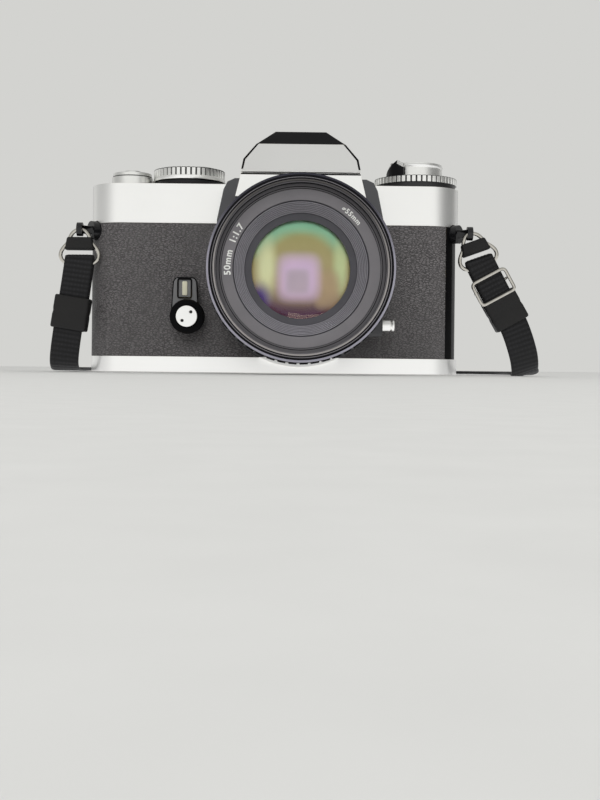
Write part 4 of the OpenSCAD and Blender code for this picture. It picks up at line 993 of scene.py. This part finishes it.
tab, tab_tip = finger_tab()
crank_tab = piece("crank_finger_tab", tab, plastic, "crank", crease=40)
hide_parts("crank_knob")
piece("crank_tab_tip", tab_tip, tip_painted_reflection, "crank", crease=40)


def upright_ring(centre, profile, steps=96):
    """Points and quads of a closed profile of (radius, height) about an upright axis."""
    points = [(centre[0] + r * c, centre[1] + r * s, z) for c, s in around(steps) for r, z in profile]
    return points, ring_faces(steps, len(profile), True)


hub_split = upright_ring(WIND, [(7.0, 72.45), (7.32, 72.45), (7.32, 72.85), (7.0, 72.85)])
piece("hub_split_line", hub_split, black_ink, "advance")

dial_band = upright_ring(DIAL, [(12.9, 70.55), (13.25, 70.55), (13.32, 70.75), (13.28, 71.75), (13.1, 71.95),
                                (12.9, 71.95)], 144)
piece("dial_foot_band", dial_band, chrome, "speed_dial", crease=30)
knob_flare = upright_ring(REWIND, [(9.6, 76.5), (9.93, 76.5), (9.96, 76.9), (10.1, 77.3), (10.1, 77.6),
                                   (9.75, 78.25), (9.5, 78.3)], 120)
piece("knob_flare", knob_flare, chrome, "rewind", crease=30)


# Trim of the prism front

def on_prism(x, z, level):
    """On the silver front of the prism, which leans back from the ledge at its foot."""
    foot_y, foot_z, lean = -29.9, 71.5, 2.3 / 9.5
    return (x, foot_y + (z - foot_z) * lean - level, z)


def prism_edges():
    """The black edges down both sides of the silver prism face."""
    edge = [(20.98, 71.7), (20.3, 75.4), (15.7, 81.0), (14.95, 81.0), (19.6, 75.15), (20.3, 71.7)]
    return joined(*(slab([(side * x, z) for x, z in edge], -0.6, 0.06, 0.02, on_prism) for side in (-1, 1)))


piece("prism_edges", prism_edges(), satin_black, "body", crease=30)
# A black strip along the apron for its groove: painted shade
groove = [(-21.1, 69.7), (21.1, 69.7), (21.0, 70.2), (-21.0, 70.2)]
groove_painted_shade = slab(groove, 29.9, 30.25, 0.02, front_place)
piece("apron_groove_painted_shade", groove_painted_shade, satin_black, "body", crease=30)
bead = wire([(-20.8, -30.05, 70.85), (20.8, -30.05, 70.85)], 0.42, closed=False)
piece("apron_bead", bead, chrome, "body", crease=50)

# Self-timer lever

TIMER = (axes["timer_set"][X], axes["timer_set"][Z])


def timer_arm():
    """The boss, the arm that rises from it and the raised frame of its window."""
    x, z = TIMER
    boss = slab(round_outline(6.2, x, z), 16.9, 21.45, 0.7, front_place)
    arm = slab(rounded([(x - 5.9, z), (x - 5.2, z + 12.6), (x - 4.2, z + 14.1), (x + 2.6, z + 14.1),
                        (x + 3.6, z + 12.6), (x + 4.3, z)], 1.4), 18.6, 20.7, 0.45, front_place)
    outer = rounded_box(x - 3.6, z + 6.4, x + 1.8, z + 13.7, 1.0)
    levels = ((0, 20.5), (0, 21.0), (0.15, 21.2), (0.4, 21.2), (0.55, 21.0), (0.55, 20.5))
    rim = [front_place(a, b, level) for inset, level in levels for a, b in shrunk(outer, inset)]
    frame_rim = (rim, ring_faces(len(levels), len(outer), True))
    # The last face of the arm's plate is its flat front
    which = [0] * (len(boss[1]) + len(arm[1]) - 1) + [1] + [0] * len(frame_rim[1])
    return *joined(boss, arm, frame_rim), which


timer = piece("timer_lever", timer_arm(), [satin_black, arm_paint], "timer", crease=40)
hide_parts("self_timer_lever")
window = rounded_box(TIMER[0] - 1.75, TIMER[1] + 7.5, TIMER[0] + 0.1, TIMER[1] + 12.6, 0.5)
piece("timer_inlay", slab(window, 20.4, 21.05, 0.15, front_place), inlay, "timer")

HOLE_R, HOLE_OUT = 0.52, 1.556    # the holes in the cap, and how far each is aside and up from its middle
# Black discs in the floors of the cap's holes: painted shade
cap_hole_shade = [slab(round_outline(HOLE_R, TIMER[0] + s * HOLE_OUT, TIMER[1] + s * HOLE_OUT, 24),
                  21.85, 22.45, 0.05, front_place) for s in (-1, 1)]
piece("timer_cap_hole_shade", joined(*cap_hole_shade), black_ink, "timer")


# Bare black end of the body beside the leather

def end_band():
    """The strip of black paint round the right front corner, where the leather stops short of the end."""
    centre, outer_r, inner_r = (46.0, -3.5), 13.1, 12.5
    angles = [math.radians(34.5 + 1.5 * i) for i in range(11)]
    ways = [(math.sin(a), -math.cos(a)) for a in angles]
    outline = [(centre[0] + outer_r * x, centre[1] + outer_r * y) for x, y in ways]
    outline += [(centre[0] + inner_r * x, centre[1] + inner_r * y) for x, y in reversed(ways)]
    return slab(outline, 5.75, 53.85, 0.04, top_place)


piece("end_band", end_band(), satin_black, "body", crease=30)

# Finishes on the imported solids

dial_chrome = ribbed_chrome("coin_edge_dial", DIAL, rib_r=13.2, skirt_z=60.0, crown_z=74.55)
film_chrome = ribbed_chrome("coin_edge_film_dial", REWIND, rib_r=15.4, skirt_z=70.45, crown_z=72.6)
knob_chrome = turned_chrome("turned_rewind_chrome", REWIND)
wind_chrome = turned_chrome("turned_wind_chrome", WIND)
worn_by = {
    chrome: ["top_cover", "base_plate", "hot_shoe", "self_timer_cap", "lens_release"],
    dial_chrome: ["shutter_dial"], film_chrome: ["exposure_dial"],
    knob_chrome: ["rewind_knob", "rewind_crank"], wind_chrome: ["advance_lever", "release_button"],
    enamel: ["strap_lugs"], satin_black: ["prism_cap", "back_door"], housing_paint: ["mount_housing"],
    cast_paint: ["body_casting", "mirror_box", "pressure_plate"],
    black_ring: ["lens_barrel", "aperture_ring", "focus_ring", "optical_barrel", "shutter_frame"]
    + [f"iris_blade_{k}" for k in range(1, 7)],
    machined: ["base_screws", "tripod_bush", "mount_screws", "body_bayonet", "lens_bayonet", "hinge_pin",
               "rewind_sleeve", "battery_cover", "rewind_button", "film_sprocket",
               "shutter_blade_1", "shutter_blade_2", "shutter_blade_3"],
    vinyl: ["front_leather", "door_leather"],
    plastic: ["eyepiece_frame", "mode_lever", "takeup_spool"],
    rubber: ["focus_grip"],
    plain_glass: ["focusing_screen", "pentaprism", "eyepiece_lens", "rear_element"],
    silver: ["reflex_mirror"],
}

REAL_EDGE = math.radians(32)    # a sharper bend than this is an edge of the solid


def edge_shading():
    """A node group that smooths the tessellated faces and keeps real edges sharp."""
    group = bpy.data.node_groups.new("edge_shading", "GeometryNodeTree")
    group.interface.new_socket("Geometry", in_out="INPUT", socket_type="NodeSocketGeometry")
    group.interface.new_socket("Geometry", in_out="OUTPUT", socket_type="NodeSocketGeometry")
    start = add(group, "NodeGroupInput")
    smooth = add(group, "GeometryNodeSetShadeSmooth", Geometry=start, domain="FACE")
    angle = add(group, "GeometryNodeInputMeshEdgeAngle")
    sharp = add(group, "FunctionNodeCompare", A=angle, B=REAL_EDGE, operation="GREATER_THAN")
    split = add(group, "GeometryNodeSetShadeSmooth", Geometry=smooth, Selection=sharp, Shade_Smooth=False,
                domain="EDGE")
    add(group, "NodeGroupOutput", Geometry=split)
    return group


shading = edge_shading()
# How far each solid's edges are broken
broken_edge = {"top_cover": 0.35, "base_plate": 0.35, "prism_cap": 0.4, "mount_housing": 0.4,
               "hot_shoe": 0.15, "shutter_dial": 0.1, "exposure_dial": 0.1, "rewind_knob": 0.3,
               "rewind_crank": 0.25, "advance_lever": 0.3, "lens_release": 0.25, "self_timer_cap": 0.25,
               "mode_lever": 0.2, "strap_lugs": 0.4, "eyepiece_frame": 0.4, "back_door": 0.4,
               "optical_barrel": 0.2, "lens_barrel": 0.2, "focus_ring": 0.2, "focus_grip": 0.12,
               "aperture_ring": 0.15, "release_button": 0.2, "front_leather": 0.2, "door_leather": 0.2}


def modify(solid, name, kind, **settings):
    """One modifier with its settings."""
    made = solid.modifiers.new(name, kind)
    for key, value in settings.items():
        setattr(made, key, value)


for finish, members in worn_by.items():
    for name in members:
        solid = frame["nodes"][name]
        solid.data.materials.clear()
        solid.data.materials.append(finish)
        modify(solid, "weld", "WELD", merge_threshold=0.002 * MM)
        if name in broken_edge:
            modify(solid, "flat_faces", "DECIMATE", decimate_type="DISSOLVE", angle_limit=math.radians(1))
            modify(solid, "broken_edges", "BEVEL", width=broken_edge[name] * MM, segments=2,
                   limit_method="ANGLE", angle_limit=REAL_EDGE)
        modify(solid, "edge_shading", "NODES", node_group=shading)
        modify(solid, "level_faces", "WEIGHTED_NORMAL", keep_sharp=True)


# Floor, air and lamps

PALE = "#d3d3d0"


def studio_floor():
    """A large round table top, in metres, that fades into the pale air round it."""
    outline = round_outline(3.0, 0, 0, 96)
    mesh = bpy.data.meshes.new("studio_floor")
    mesh.from_pydata([(x, y, -0.3 * MM) for x, y in outline], [], [tuple(range(len(outline)))])
    top = bpy.data.objects.new("studio_floor", mesh)
    scene.collection.objects.link(top)
    finish, tree, shader, place = new_finish("pale_table", Roughness=0.7)
    felt = noise(tree, place, 3, detail=4.0)
    tone = blend(tree, felt, "#cfcfcc", "#d7d7d4")
    feed(shader, Base_Color=tone)
    far = add(tree, "VectorMath", place, operation="LENGTH")
    fade = eased(tree, far, 0.45, 1.6)
    ray = add(tree, "LightPath").outputs["Is Glossy Ray"]
    pale = blend(tree, ray, PALE, "#ffffff")
    air = add(tree, "Emission", Color=pale, Strength=1.0)
    # Metal mirrors the table as nearly white
    mirrored = add(tree, "Math", ray, 0.97, operation="MULTIPLY")
    paler = add(tree, "Math", fade, mirrored, operation="MAXIMUM")
    both = add(tree, "MixShader", paler, shader, air)
    tree.links.new(both.outputs["Shader"], tree.nodes["Material Output"].inputs["Surface"])
    mesh.materials.append(finish)


def studio_air():
    """Pale air to look at and to reflect, darker to the sides so that metal keeps its form."""
    world = bpy.data.worlds.new("studio_air")
    scene.world = world
    world.use_nodes = True
    tree = world.node_tree
    tree.nodes.clear()
    ray = add(tree, "LightPath").outputs
    way = add(tree, "TexCoord").outputs["Generated"]
    split = add(tree, "SeparateXYZ", Vector=way)
    shade = eased(tree, split.outputs["Z"], 0.12, 0.6, To_Min=1.0, To_Max=0.62)
    # The left side and the back are dimmer than the front, and the right side dimmer still
    for axis, near, far, dim in (("X", -0.55, -1.0, 0.5), ("X", 0.5, 1.0, 0.22), ("Y", 0.5, 1.0, 0.4)):
        side = eased(tree, split.outputs[axis], near, far, To_Min=1.0, To_Max=dim)
        shade = add(tree, "Math", shade, side, operation="MULTIPLY")
    mirrored = add(tree, "Background", Color=hue("#fdfdfb"), Strength=shade)
    seen = add(tree, "Background", Color=hue(PALE), Strength=1.0)
    light = add(tree, "Background", Color=hue("#ffffff"), Strength=0.4)
    bent = add(tree, "Math", ray["Is Glossy Ray"], ray["Is Transmission Ray"], operation="MAXIMUM")
    first = add(tree, "MixShader", bent, light, mirrored)
    both = add(tree, "MixShader", ray["Is Camera Ray"], first, seen)
    add(tree, "OutputWorld", Surface=both)


def softbox(name, place, aim, width, tall, watts):
    """A large soft lamp that looks at a point, in metres."""
    lamp = bpy.data.lights.new(name, "AREA")
    lamp.shape = "RECTANGLE"
    lamp.size, lamp.size_y, lamp.energy = width, tall, watts
    stand = bpy.data.objects.new(name, lamp)
    stand.location = place
    stand.rotation_euler = (Vector(aim) - Vector(place)).to_track_quat("-Z", "Y").to_euler()
    # The lamps light the part without showing as hard shapes in its metal
    stand.visible_glossy = False
    scene.collection.objects.link(stand)


studio_floor()
studio_air()
softbox("key_softbox", place=(-0.25, -0.95, 0.95), aim=(0, 0, 0.03), width=1.0, tall=0.7, watts=9.0)
softbox("fill_softbox", place=(0.9, -0.5, 0.6), aim=(0, 0, 0.03), width=0.6, tall=0.6, watts=3.0)
softbox("back_softbox", place=(0.1, 0.9, 0.9), aim=(0, 0, 0.04), width=1.0, tall=0.6, watts=4.0)
